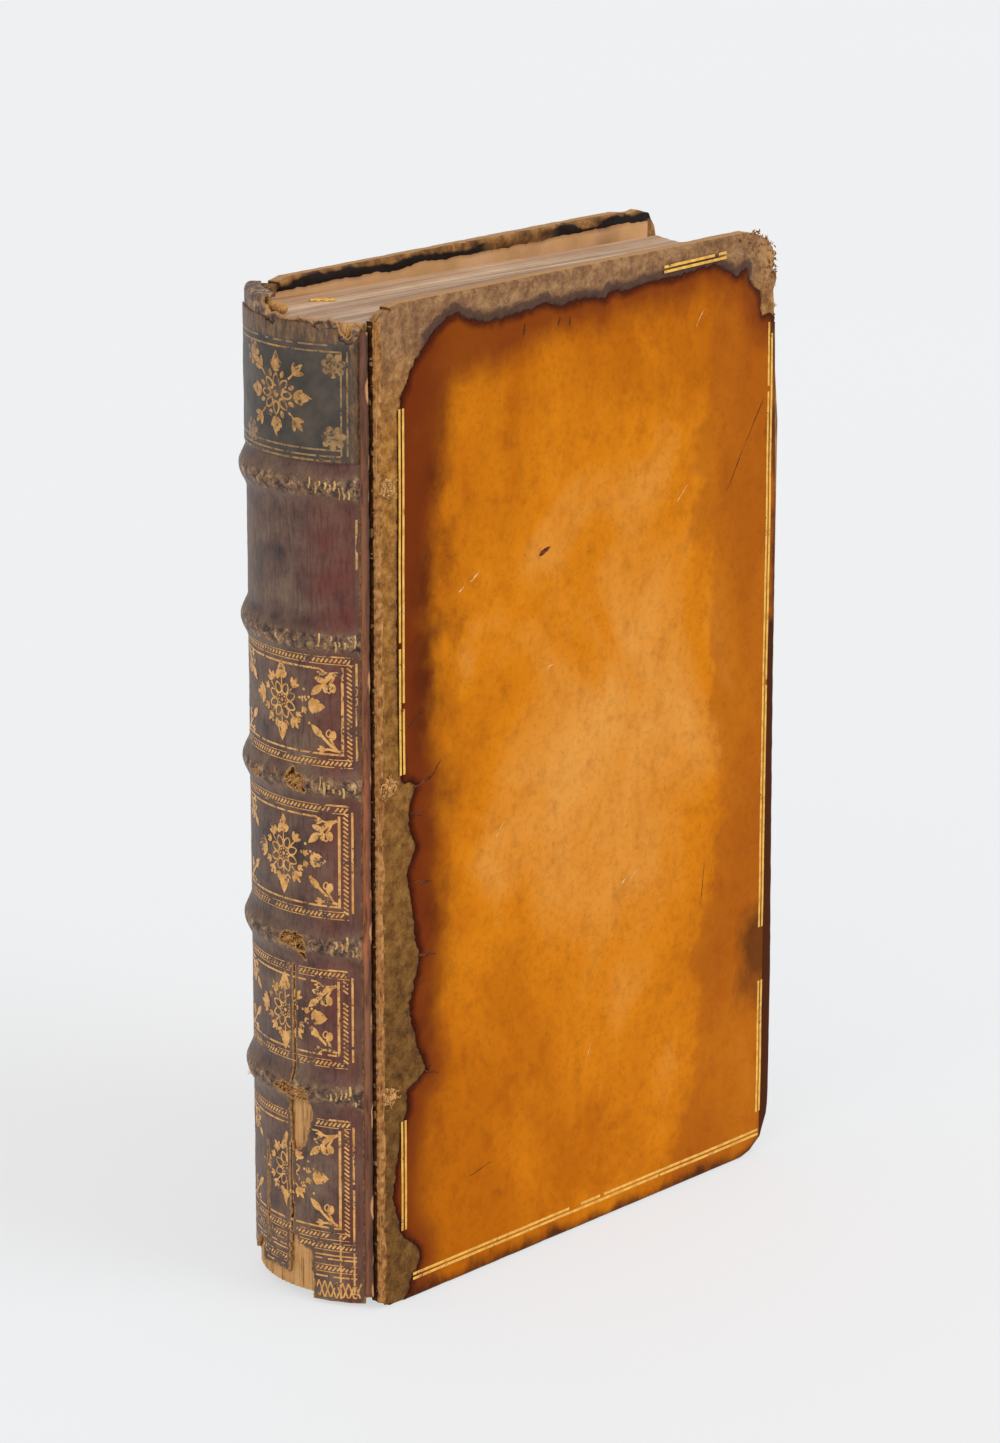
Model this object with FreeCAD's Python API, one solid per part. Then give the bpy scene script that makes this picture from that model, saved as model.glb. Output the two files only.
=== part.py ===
import FreeCAD, Part
import math
import os

# A worn octavo book in calf, bound on raised cords, standing on its tail.
# The spine faces -X, the front board faces -Y, and the origin is the middle of
# the footprint, at the height of the boards' tail edges. Millimetres.

Vec = FreeCAD.Vector
up = Vec(0, 0, 1)

# Boards
board_height = 200.0
front_board_width = 120.0
rear_setback = 3.0          # how far the rear board's spine edge lies behind the front one's
joint_thickness = 37.5      # over both covers
pasteboard = 2.2
cover_leather = 0.7
worn_leather = 0.35         # what is left where the grain layer has flaked off
turn_in = 0.3               # pared leather folded over the inner edges
turn_in_width = 9.0
back_corner = 3.0           # slanted corner of a board beside the head cap
worn_corner = 7.0           # rounding by wear at the other corners

# Spine
spine_radius = 0.64 * joint_thickness
spine_leather = 0.8
front_joint_deg = 39.0      # where the leather is torn along the front joint
joint_edge = 0.85           # from the front board's spine edge back to the torn leather
spine_centre = spine_radius * math.cos(math.radians(front_joint_deg)) - joint_edge
rear_joint_deg = -50.0
glue_line = 0.03
band_places = [0.221, 0.373, 0.5345, 0.6765, 0.8265]
band_heights = [share * board_height for share in band_places]
band_height = 1.5
band_half = 4.2
cord_half = 1.5
cord_side = 0.6
cap_edge = board_height     # what is left of the head cap
head_edge = cap_edge - 2.7  # torn head of the spine leather
cap_end_deg = -14.0
cap_lip = 2.4
cap_thickness = 0.8
tail_edge = 0.8
crack_width = 0.5
joint_strip_reach = 2.4     # torn joint leather that stands along the front board's edge
joint_gap = 0.45

# Leaves
leaf_head = board_height - 3.5
leaf_tail = 1.7
leaf_sag = 0.011            # drop per millimetre towards the fore-edge
leaf_depth = 115.5          # from the front board's spine edge to the leaves' fore-edge
leaf_front = joint_thickness / 2 - 3.45     # front face of the leaves, from the middle plane
leaf_rear_at_joint = joint_thickness / 2 - 3.75
leaf_rear_mid = joint_thickness / 2 - 5.75
leaf_rear_at_edge = joint_thickness / 2 - 9.25
leaf_edge_hollow = 4.0
leaf_edge_slant = 2.5
leaf_start = 3.5            # from the boards' spine edge to where the leaves' faces begin
leaf_settle = 18.0          # from there the rear leaves sink away from the cover
shoulder = joint_thickness / 2 - 3.25

# Title label, gilding and laced cords
label_thickness = 0.35
label_foot = band_heights[-1] + 4.7
label_head = board_height - 3.6
label_head_margin = 4.0     # from the label's head down to its upper rule
label_foot_margin = 1.2
gilt = 0.12
gilt_lift = 0.02
rule_width = 0.45
rule_gap = 0.5
roll_width = 1.0
joint_margin = 6.3          # from the board's edges to the outer rules
fore_margin = 4.25
head_margin = 3.8
tail_margin = 4.65
panel_foot_gap = 6.4        # from a band's crest up to the inner rule of the panel above it
panel_head_gaps = [8.2, 6.8, 6.0, 6.0]
lowest_rule = 0.357 * band_heights[0]
tail_rules = [lowest_rule - drop for drop in (8.6, 7.4, 6.2)]
post_pitch_deg = 3.3        # between the upright rules at a panel's side
side_margin_deg = 2.4
slip_length = 4.5
slip_height = 0.9
slip_bands = [0, 2, 4]
endband_radius = 1.0
endband_gap = 0.15
endband_inset = 1.6
pastedown_gap = 0.1
cutter_reach = 40.0         # how far the cutting solids reach past the book

half_thickness = joint_thickness / 2
band_reach = spine_radius + band_height - spine_centre
board_x = -(front_board_width - band_reach) / 2
fore_x = board_x + front_board_width
rear_x = board_x + rear_setback
centre_x = board_x + spine_centre
back_radius = spine_radius - spine_leather
inner_y = half_thickness - cover_leather - pasteboard - turn_in


def extruded(points, direction):
    """Extrude a closed outline of points."""
    return Part.Face(Part.makePolygon(points + [points[0]])).extrude(direction)


def plan(points, foot, head):
    """A prism that stands on a plan outline."""
    return extruded([Vec(x, y, foot) for x, y in points], up * (head - foot))


def slab(outline, y_from, y_to):
    """A plate that fills an outline in X and Z between two depths."""
    return extruded([Vec(x, y_from, z) for x, z in outline], Vec(0, y_to - y_from, 0))


def outward(deg):
    """Direction out of the spine: 0 is -X, positive towards the front board."""
    a = math.radians(deg)
    return Vec(-math.cos(a), -math.sin(a), 0)


def around(deg):
    """Direction along the spine's curve towards the front board."""
    a = math.radians(deg)
    return Vec(math.sin(a), -math.cos(a), 0)


def on_spine(deg, radius, z):
    return Vec(centre_x, 0, z) + outward(deg) * radius


def turned(corners, from_deg, to_deg):
    """Revolve a closed outline of (radius, height) corners about the spine's axis."""
    points = [on_spine(from_deg, r, z) for r, z in corners]
    face = Part.Face(Part.makePolygon(points + [points[0]]))
    return face.revolve(Vec(centre_x, 0, 0), up, to_deg - from_deg)


def ring(r_in, r_out, foot, head, from_deg, to_deg):
    return turned([(r_in, foot), (r_out, foot), (r_out, head), (r_in, head)], from_deg, to_deg)


def spine_plate(outline, deg, z, radius, thickness):
    """A small flat plate that lies against the spine, from an outline of (across, up)."""
    base = on_spine(deg, radius, z)
    points = [base + around(deg) * u + up * v for u, v in outline]
    return extruded(points, outward(deg) * thickness)


def spine_cutter(outline_deg_z):
    """Cut straight through the spine leather along an outline of (degrees, height)."""
    degs = [d for d, z in outline_deg_z]
    middle = (min(degs) + max(degs)) / 2
    outline = [(spine_radius * math.sin(math.radians(d - middle)), z) for d, z in outline_deg_z]
    reach = spine_leather + band_height + 1.5
    start = spine_radius * math.cos(math.radians((max(degs) - min(degs)) / 2)) - spine_leather - 0.6
    return spine_plate(outline, middle, 0, start, spine_radius + reach - start)


def fused(shapes):
    whole = shapes[0].fuse(shapes[1:]) if len(shapes) > 1 else shapes[0]
    return whole.removeSplitter()


def arch(z, radius, clearance):
    """Corners of the arched section of a raised cord, from its lower foot to its upper one."""
    half = cord_half - clearance
    side = radius + cord_side
    crown = band_height - clearance - cord_side
    corners = [(radius, z - half)]
    for step in range(7):
        a = math.pi * (1 - step / 6)
        corners.append((side + crown * math.sin(a), z + half * math.cos(a)))
    return corners + [(radius, z + half)]


def band_profile(z):
    """Corners of a raised band: a smooth swelling over its cord."""
    corners = []
    for step in range(11):
        t = step / 5 - 1
        swell = 0.5 + 0.5 * math.cos(math.pi * t)
        corners.append((spine_radius + band_height * swell ** 0.8, z + band_half * t))
    return corners


def make_text_block():
    rear = [(board_x + leaf_start, leaf_rear_at_joint), (board_x + leaf_settle, leaf_rear_mid)]
    fore = board_x + leaf_depth
    fore_rear = fore - leaf_edge_slant

    shoulder_x = centre_x - math.sqrt((back_radius - glue_line) ** 2 - shoulder ** 2)
    front_turn = (board_x + leaf_start, -leaf_front)
    corner_front = (fore, -leaf_front)
    corner_rear = (fore_rear, leaf_rear_at_edge)
    hollow = (fore - leaf_edge_slant / 2 - leaf_edge_hollow, (leaf_rear_at_edge - leaf_front) / 2)
    back = (centre_x - back_radius + glue_line, 0)
    start = (shoulder_x, -shoulder)
    end = (shoulder_x, shoulder)

    # The curved back and fore-edge are drawn level, and the sagging ends are cut afterwards.
    def level(p):
        return Vec(p[0], p[1], 0)

    edges = [Part.LineSegment(level(start), level(front_turn)).toShape(),
             Part.LineSegment(level(front_turn), level(corner_front)).toShape(),
             Part.Arc(level(corner_front), level(hollow), level(corner_rear)).toShape(),
             Part.LineSegment(level(corner_rear), level(rear[1])).toShape(),
             Part.LineSegment(level(rear[1]), level(rear[0])).toShape(),
             Part.LineSegment(level(rear[0]), level(end)).toShape(),
             Part.Arc(level(end), level(back), level(start)).toShape()]
    stack = Part.Face(Part.Wire(edges)).extrude(up * (board_height + 2 * cutter_reach))
    stack.translate(up * -cutter_reach)
    near, far = board_x - cutter_reach, fore_x + cutter_reach
    drop = (far - near) * leaf_sag
    tail = leaf_tail + leaf_sag * cutter_reach
    head = leaf_head + leaf_sag * cutter_reach
    side = half_thickness + cutter_reach
    keep = [Vec(near, -side, tail), Vec(far, -side, tail - drop), Vec(far, -side, head - drop),
            Vec(near, -side, head)]
    return stack.common(extruded(keep, Vec(0, 2 * side, 0)))


def make_cord(z):
    return turned(arch(z, back_radius, glue_line), rear_joint_deg + 9, front_joint_deg - 2)


def make_endband_core():
    z = leaf_head + endband_radius + endband_gap
    r = back_radius - endband_inset
    start = on_spine(rear_joint_deg + 8, r, z)
    circle = Part.makeCircle(endband_radius, start, around(rear_joint_deg + 8))
    face = Part.Face(Part.Wire([circle]))
    return face.revolve(Vec(centre_x, 0, 0), up, -4 - (rear_joint_deg + 8))


def make_spine_leather():
    corners = [(back_radius, tail_edge), (spine_radius, tail_edge)]
    for band in band_heights:
        corners += band_profile(band)
    corners += [(spine_radius, cap_edge), (back_radius, cap_edge)]
    for band in reversed(band_heights):
        corners += reversed(arch(band, back_radius, 0))
    shell = turned(corners, rear_joint_deg, front_joint_deg)

    # Remains of the head cap, folded in over the endband.
    lip = ring(back_radius - cap_lip, back_radius + spine_leather / 2, cap_edge - cap_thickness, cap_edge,
               rear_joint_deg, cap_end_deg - 1)
    # Leather torn off the front board, still standing along the joint.
    inner = on_spine(front_joint_deg, back_radius, 0)
    outer = on_spine(front_joint_deg, spine_radius, 0)
    root = on_spine(front_joint_deg - 1.5, back_radius + spine_leather / 2, 0)
    strip_x = board_x - joint_gap
    strip_y = outer.y - joint_strip_reach
    strip = plan([(root.x, root.y), (outer.x, outer.y), (strip_x - 0.75 * spine_leather, strip_y),
                  (strip_x, strip_y), (strip_x, inner.y - spine_leather), (inner.x, inner.y)],
                 tail_edge + 2, head_edge - 2)
    leather = fused([shell, lip, strip])

    # Ragged head, from the cap's end to the front joint.
    above = cap_edge + 5
    head_losses = [
        [(cap_end_deg, above), (cap_end_deg, head_edge + 1.5), (-9, head_edge + 0.2), (-3, head_edge),
         (4, head_edge - 0.5), (4, above)],
        [(3.9, above), (3.9, head_edge - 0.5), (9, head_edge + 0.1), (15, head_edge - 0.2),
         (22, head_edge), (22, above)],
        [(21.9, above), (21.9, head_edge), (29, head_edge - 0.4), (30.5, head_edge - 2.8),
         (34, head_edge - 3.4), (36, head_edge - 1.2), (42, head_edge - 1.6), (42, above)]]
    # Ragged tail: a tongue of leather is left between two losses.
    below = tail_edge - 5
    tail_losses = [
        [(rear_joint_deg - 2, below), (rear_joint_deg - 2, 4.6), (-42, 5.4), (-36, 4.8), (-31, 7.6),
         (-31, below)],
        [(-31.1, below), (-31.1, 7.6), (-27, 9.2), (-24, 8.4), (-23, 4.4), (-12, 5.2), (-12, below)],
        [(-12.1, below), (-12.1, 5.2), (-1, 4.8), (0, 13.0), (4, 13.4), (5, 11.4), (12, 10.8),
         (13, tail_edge), (13, below)]]
    b5, b4, b3 = band_heights[0], band_heights[1], band_heights[2]
    holes = [
        [(-20, b3 - 0.4), (-18, b3 + 1.1), (-16, b3 + 0.2), (-17, b3 - 1.0)],
        [(2, b3 + 0.6), (4, b3 + 2.6), (12, b3 + 1.2), (12.5, b3 - 1.8), (6, b3 - 1.0)],
        [(-2, b4 - 0.5), (0, b4 + 1.9), (10, b4 + 1.6), (13, b4 - 1.4), (7, b4 - 1.2)],
        [(8, b4 - 1.8), (11, b4 - 2.0), (11.5, b4 - 3.6), (9, b4 - 3.4)],
        [(-33, b5 - 1.0), (-31, b5 + 0.4), (-29, b5 - 0.8)],
        [(-7, b5 - 0.6), (-5, b5 + 1.0), (12, b5 + 0.2), (12, b5 - 1.6), (3, b5 - 1.7)],
        [(0.5, b5 - 2.8), (13, b5 - 2.2), (13, b5 - 5.5), (10.5, b5 - 9.0), (8, b5 - 12.0),
         (3, b5 - 13.0), (1, b5 - 11.0)]]
    cracks = [(3.5, b5 + 1.5, b4 - 5.0), (0.6, 12.5, b5 - 12.0), (-17.5, 9.0, 30.6)]
    cutters = [spine_cutter(outline) for outline in head_losses + tail_losses + holes]
    wide = math.degrees(crack_width / spine_radius) / 2
    for deg, low, high in cracks:
        cutters.append(spine_cutter([(deg - wide, low), (deg + wide, low), (deg + wide, high),
                                     (deg - wide, high)]))
    # Nothing of the spine stands out past the rear cover.
    cutters.append(Part.makeBox(front_board_width, cutter_reach, board_height + 2 * cutter_reach,
                                Vec(board_x - cutter_reach, half_thickness - cover_leather / 2,
                                    -cutter_reach)))
    return leather.cut(cutters)


def make_title_label():
    label = ring(spine_radius + glue_line, spine_radius + label_thickness, label_foot, label_head,
                 rear_joint_deg + 4, front_joint_deg - 0.5)
    above = label_head + 5
    frays = [[(-12, above), (-12, label_head - 0.2), (-6, label_head - 0.9), (0, label_head - 0.2),
              (0, above)],
             [(16, above), (16, label_head - 0.2), (20, label_head - 1.2), (26, label_head - 0.4),
              (29, label_head - 0.8), (30.5, label_head - 3.0), (35, label_head - 3.6),
              (39, label_head - 1.5), (39, above)]]
    return label.cut([spine_cutter(outline) for outline in frays])


def gilt_ring(z, width, from_deg, to_deg, radius):
    return ring(radius, radius + gilt, z - width / 2, z + width / 2, from_deg, to_deg)


def gilt_post(deg, width, low, high, radius):
    outline = [(-width / 2, low), (width / 2, low), (width / 2, high), (-width / 2, high)]
    return spine_plate(outline, deg, 0, radius, gilt)


def leaf_outline(length, width, angle):
    """A pointed leaf that grows from the origin in a direction given in degrees."""
    a = math.radians(angle)
    shape = [(0.15, 0), (0.45, 0.5), (0.7, 0.42), (1, 0), (0.7, -0.42), (0.45, -0.5)]
    points = []
    for along, across in shape:
        u, v = along * length, across * width
        points.append((u * math.cos(a) - v * math.sin(a), u * math.sin(a) + v * math.cos(a)))
    return points


def motif(leaves, deg, z, radius):
    """Gilt leaves round one point, each of them flat and laid on the spine's curve."""
    plates = []
    for start, length, width, angle in leaves:
        a = math.radians(angle)
        across = start * math.cos(a) + length / 2 * math.cos(a)
        at = deg + math.degrees(across / radius)
        shift = start * math.cos(a) - across
        outline = [(u + shift, v + start * math.sin(a)) for u, v in leaf_outline(length, width, angle)]
        plates.append(spine_plate(outline, at, z, radius, gilt))
    return plates


def round_outline(radius, corners):
    turns = [math.radians(360 * k / corners) for k in range(corners)]
    return [(radius * math.cos(a), radius * math.sin(a)) for a in turns]


def rosette(deg, z, radius):
    leaves = [(1.3, 2.9, 1.5, 45 * k + 22.5) for k in range(8)]
    leaves += [(4.0, 3.6, 2.4, 90), (4.0, 3.6, 2.4, 270), (6.0, 3.9, 3.1, 0), (6.0, 3.9, 3.1, 180)]
    for way in (0, 180):
        for lean in (-1, 1):
            leaves.append((3.7, 3.0, 2.1, way + lean * 55))
            leaves.append((4.4, 2.3, 1.5, way + lean * 24))
    return [spine_plate(round_outline(0.9, 12), deg, z, radius, gilt)] + motif(leaves, deg, z, radius)


def corner_spray(deg, z, radius, right, top):
    """A sprig that grows from a panel's corner towards the middle."""
    turn = {(1, 1): 180, (1, -1): 90, (-1, 1): 270, (-1, -1): 0}[(right, top)]
    leaves = [(0.6, 6.2, 1.7, turn + 45), (1.2, 3.8, 1.5, turn + 12), (1.2, 3.8, 1.5, turn + 78)]
    return motif(leaves, deg, z, radius)


def make_spine_gilding(low, high):
    """Inner rules, rope rolls, upright rules, a rosette and corner sprigs of one spine panel."""
    radius = spine_radius + gilt_lift
    right = front_joint_deg - side_margin_deg
    left = rear_joint_deg + side_margin_deg
    inside = (left + 2 * post_pitch_deg, right - 2 * post_pitch_deg)
    roll = rule_gap + (rule_width + roll_width) / 2
    pieces = [gilt_ring(low, rule_width, *inside, radius), gilt_ring(high, rule_width, *inside, radius),
              gilt_ring(low - roll, roll_width, *inside, radius),
              gilt_ring(high + roll, roll_width, *inside, radius)]
    for side, inward in ((right, -1), (left, 1)):
        for step, width in enumerate((rule_width, roll_width, rule_width)):
            deg = side + inward * step * post_pitch_deg
            pieces.append(gilt_post(deg, width, low - roll, high + roll, radius))
    pieces += rosette(-2.5, (low + high) / 2, radius)
    for side, deg in ((1, inside[1] - 1.5), (-1, inside[0] + 1.5)):
        for end, z in ((1, high - 0.6), (-1, low + 0.6)):
            pieces += corner_spray(deg, z, radius, side, end)
    return pieces


def make_tail_rules():
    """Rules below the lowest panel, on the leather that is left beside the losses."""
    radius = spine_radius + gilt_lift
    return [gilt_ring(z, rule_width, start, end, radius)
            for z in tail_rules for start, end in ((-21, -3), (14, 29.5))]


def make_label_gilding():
    """Double rules, corner roundels and a plain flower on the title label."""
    radius = spine_radius + label_thickness + gilt_lift
    right = front_joint_deg - 5.8
    left = rear_joint_deg + 8
    pitch = math.degrees((rule_width + 2 * rule_gap) / radius)
    foot, head = label_foot + label_foot_margin, label_head - label_head_margin
    tall = head - foot
    pair = rule_width + 2 * rule_gap
    pieces = []
    for z in (foot, foot + pair, head - pair, head):
        pieces.append(gilt_ring(z, rule_width, left, right - 2 * pitch, radius))
    for deg in (right - pitch, right):
        pieces.append(gilt_post(deg, rule_width, foot, head, radius))
    for deg in (left + 17, right - pitch - 6.5):
        for z in (foot + 0.22 * tall, head - 0.22 * tall):
            pieces.append(spine_plate(round_outline(0.115 * tall, 14), deg, z, radius, gilt))
    # The middle has one plain gilt flower.
    leaves = [(0.06 * tall, 0.23 * tall, 0.125 * tall, 90 * k) for k in range(4)]
    leaves += [(0.06 * tall, 0.155 * tall, 0.085 * tall, 90 * k + 45) for k in range(4)]
    pieces += motif(leaves, -4.0, (foot + head) / 2, radius)
    return Part.makeCompound(pieces)


# Board outlines run from the spine edge: x from that edge, z from the tail.
def front_outline():
    w, h, c, b = front_board_width, board_height, worn_corner, back_corner
    return [(0, b), (0.4 * b, 0.27 * b), (b, 0), (w - 1.3 * c, 0), (w - 0.86 * c, 0.11 * c),
            (w - 0.37 * c, 0.46 * c), (w - 0.06 * c, 1.15 * c), (w, 1.7 * c), (w, 0.8 * h),
            (w - 0.31 * c, h - 2.6 * c), (w - 0.37 * c, h - 1.9 * c), (w - 0.26 * c, h - 1.6 * c),
            (w - 0.43 * c, h - 1.23 * c), (w - 0.34 * c, h - 0.77 * c), (w - 0.66 * c, h - 0.34 * c),
            (w - 1.17 * c, h - 0.11 * c), (w - 1.7 * c, h), (2 * b, h), (0.7 * b, h - 0.3 * b),
            (0, h - b)]


def rear_outline():
    w, h, c, b = front_board_width - rear_setback, board_height, worn_corner, back_corner
    return [(0, b), (0.4 * b, 0.27 * b), (b, 0), (w - c, 0), (w - 0.29 * c, 0.29 * c), (w, c),
            (w, h - c), (w - 0.09 * c, h - 0.57 * c), (w - 0.4 * c, h - 0.17 * c), (w - c, h),
            (2.6 * b, h), (1.2 * b, h - 0.33 * b), (0, h - 1.33 * b)]


def inset(outline, width, margin):
    """Move an outline in by a margin at the fore-edge, head and tail, not at the spine edge."""
    points = []
    for x, z in outline:
        new_x = x - margin if x > width / 2 else x
        points.append((new_x, z + margin if z < board_height / 2 else z - margin))
    return points


def placed(outline, x_start):
    return [(x_start + x, z) for x, z in outline]


class Board:
    """One cover: side is -1 for the front board and 1 for the rear one."""

    def __init__(self, outline, x_start, width, side):
        self.outline = outline
        self.x_start = x_start
        self.width = width
        self.side = side
        self.face = side * half_thickness
        self.core_outer = side * (half_thickness - cover_leather)
        self.core_inner = side * (inner_y + turn_in)
        self.inner = side * inner_y

    def core(self):
        outline = inset(self.outline, self.width, cover_leather)
        return slab(placed(outline, self.x_start), self.core_outer, self.core_inner)

    def window(self, margin):
        """The inner face inside the turned-in leather."""
        w, h = self.width - turn_in_width - margin, board_height - turn_in_width - margin
        edge = turn_in_width + margin
        start = -1 if margin == 0 else turn_in
        return placed([(start, edge), (w, edge), (w, h), (start, h)], self.x_start)

    def leather(self):
        whole = slab(placed(self.outline, self.x_start), self.face, self.inner)
        core = inset(self.outline, self.width, cover_leather)
        core = [(x - 5 if x < self.width / 2 else x, z) for x, z in core]
        hollow = slab(placed(core, self.x_start), self.core_outer, self.core_inner)
        window = slab(self.window(0), self.core_inner, self.inner - self.side)
        return whole.cut([hollow, window])

    def pastedown(self):
        return slab(self.window(pastedown_gap), self.core_inner, self.inner)

    def cord_slip(self, z):
        """The frayed end of a sewing cord where it is laced into the board."""
        start = self.x_start + 0.6
        foot = self.face
        top = self.face + self.side * slip_height
        edges = [Part.LineSegment(Vec(start, foot, z), Vec(start + slip_length, foot, z)).toShape(),
                 Part.Arc(Vec(start + slip_length, foot, z), Vec(start + slip_length * 0.45, top, z),
                          Vec(start, foot, z)).toShape()]
        lump = Part.Face(Part.Wire(edges)).extrude(up * (2 * cord_half))
        lump.translate(Vec(0, 0, -cord_half))
        return lump


# Edge of the flaked leather on the front board: along the head, then down the spine side.
# x from the board's spine edge; the heights of the first list hang from the head.
head_flaking = [(6.3, 18.0), (8.5, 14.5), (11.5, 10.4), (14.8, 7.3), (17.0, 5.7), (21.5, 3.8),
                (25.6, 6.2), (30.4, 6.9), (36.6, 7.0), (42.3, 6.4), (46.6, 5.9), (51.0, 7.1),
                (56.2, 6.5), (64.8, 7.3), (65.7, 6.4), (71.6, 6.7), (77.7, 6.1), (86.8, 6.0),
                (97.6, 5.2), (101.1, 6.9), (104.8, 8.6), (107.7, 7.2), (109.1, 10.5), (112.4, 13.0),
                (112.9, 18.0)]
spine_flaking = [(5.6, 134.0), (6.2, 107.0), (10.7, 105.6), (8.4, 100.0), (10.3, 93.6), (7.9, 88.0),
                 (9.2, 81.7), (11.4, 71.0), (8.2, 61.5), (10.4, 53.0), (13.3, 46.7), (7.6, 44.1),
                 (7.4, 39.0), (5.2, 32.3), (3.5, 22.3), (6.0, 14.2), (10.6, 10.1), (11.4, 7.7),
                 (8.2, 3.0), (8.0, -2.0)]


def make_front_leather(board):
    past = 2.0
    head = [(x, board_height - depth) for x, depth in head_flaking]
    zone = [(-past, board_height + past), (front_board_width + past, board_height + past),
            (front_board_width + past, head[-1][1])] + list(reversed(head)) + spine_flaking
    zone.append((-past, -past))
    flaked = slab(placed(zone, board.x_start), board.face - past,
                  board.face + cover_leather - worn_leather)
    return board.leather().cut(flaked)


def make_front_rules():
    """Gilt double rules near the board's edges, with the stretches that wear has left."""
    y0 = -half_thickness - gilt_lift
    y1 = y0 - gilt
    w, h = front_board_width, board_height
    fore = w - fore_margin
    rules = []
    for step in (0, rule_width + rule_gap):
        tail = tail_margin + step
        head = h - head_margin - step
        near, far = joint_margin + step, fore - step
        stretches = [((1.4 * joint_margin, fore), (tail, tail)), ((0.68 * w, 0.81 * w), (head, head)),
                     ((near, near), (0.54 * h, 0.9 * h)), ((near, near), (0.075 * h, 0.185 * h)),
                     ((far, far), (0.255 * h, 0.905 * h)), ((far, far), (0.047 * h, 0.196 * h))]
        for (xa, xb), (za, zb) in stretches:
            half = rule_width / 2
            if xa == xb:
                outline = [(xa - half, za), (xa + half, za), (xa + half, zb), (xa - half, zb)]
            else:
                outline = [(xa, za - half), (xb, za - half), (xb, za + half), (xa, za + half)]
            rules.append(slab(placed(outline, board_x), y0, y1))
    return Part.makeCompound(rules)


def build():
    front = Board(front_outline(), board_x, front_board_width, -1)
    rear = Board(rear_outline(), rear_x, front_board_width - rear_setback, 1)
    parts = {
        "text_block": make_text_block(),
        "endband_core": make_endband_core(),
        "spine_leather": make_spine_leather(),
        "title_label": make_title_label(),
        "title_label_gilding": make_label_gilding(),
        "front_board": front.core(),
        "front_cover_leather": make_front_leather(front),
        "front_pastedown": front.pastedown(),
        "front_gilt_rules": make_front_rules(),
        "rear_board": rear.core(),
        "rear_cover_leather": rear.leather(),
        "rear_pastedown": rear.pastedown(),
    }
    for number, z in enumerate(reversed(band_heights), 1):
        parts["sewing_cord_%d" % number] = make_cord(z)
    for index in slip_bands:
        number = len(band_heights) - index
        parts["front_cord_slip_%d" % number] = front.cord_slip(band_heights[index])
        parts["rear_cord_slip_%d" % number] = rear.cord_slip(band_heights[index])
    lows = [lowest_rule] + [z + panel_foot_gap for z in band_heights[:3]]
    highs = [z - gap for z, gap in zip(band_heights, panel_head_gaps)]
    for index, (low, high) in enumerate(zip(lows, highs)):
        pieces = make_spine_gilding(low, high)
        if index == 0:
            pieces += make_tail_rules()
        parts["spine_gilding_%d" % (6 - index)] = Part.makeCompound(pieces)
    return parts


os.makedirs("parts", exist_ok=True)
for name, shape in build().items():
    solids = shape.Solids
    bad = [s for s in solids if not s.isValid()]
    print("%-22s %3d solids %10.1f mm3%s" % (name, len(solids), shape.Volume, "  INVALID" if bad else ""))
    shape.exportStep("parts/%s.step" % name)
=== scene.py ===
import math
import random

import bmesh
import bpy
from mathutils import Matrix, Vector, kdtree, noise


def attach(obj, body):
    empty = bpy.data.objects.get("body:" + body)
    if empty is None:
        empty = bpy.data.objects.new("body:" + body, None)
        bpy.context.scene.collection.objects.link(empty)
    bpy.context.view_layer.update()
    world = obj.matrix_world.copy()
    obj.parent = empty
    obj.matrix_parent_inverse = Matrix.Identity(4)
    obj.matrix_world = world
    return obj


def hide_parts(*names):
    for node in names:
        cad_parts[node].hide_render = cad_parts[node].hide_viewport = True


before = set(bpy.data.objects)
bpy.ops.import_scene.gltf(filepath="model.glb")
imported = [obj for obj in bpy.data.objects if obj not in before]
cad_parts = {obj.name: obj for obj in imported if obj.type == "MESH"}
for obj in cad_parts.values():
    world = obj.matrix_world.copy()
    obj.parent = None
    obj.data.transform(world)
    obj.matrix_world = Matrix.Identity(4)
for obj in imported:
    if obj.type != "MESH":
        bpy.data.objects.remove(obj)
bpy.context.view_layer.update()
mm = 0.001

# Sizes of the book in mm. The spine faces -X and the front board faces -Y.
book = {
    "boardX": -56.15,        # spine edge of the front board
    "rearX": -53.15,         # spine edge of the rear board
    "spineX": -38.35,        # axis of the rounded spine
    "halfThickness": 18.75,
    "boardHeight": 200.0,
    "boardWidth": 120.0,
    "rearWidth": 117.0,
    "innerFace": 15.55,
    "bands": [44.2, 74.6, 106.9, 135.3, 165.3],
}


def linearColour(hexText):
    channels = [int(hexText[i:i + 2], 16) / 255 for i in (1, 3, 5)]
    return [c / 12.92 if c <= 0.04045 else ((c + 0.055) / 1.055) ** 2.4 for c in channels] + [1.0]


# the inputs that a list fills, and the main output, where they are not simply the first ones
listedInputs = {"Mix": (0, 6, 7), "TexVoronoi": ("Vector", "Scale"), "Mapping": ("Vector", "Scale"),
                "TexNoise": ("Vector", "Scale", "Detail", "Roughness", "Distortion"),
                "Bump": ("Height", "Strength", "Distance", "Normal")}
mainOutput = {"Mix": 2, "Attribute": 2, "LENGTH": 1}


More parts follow.
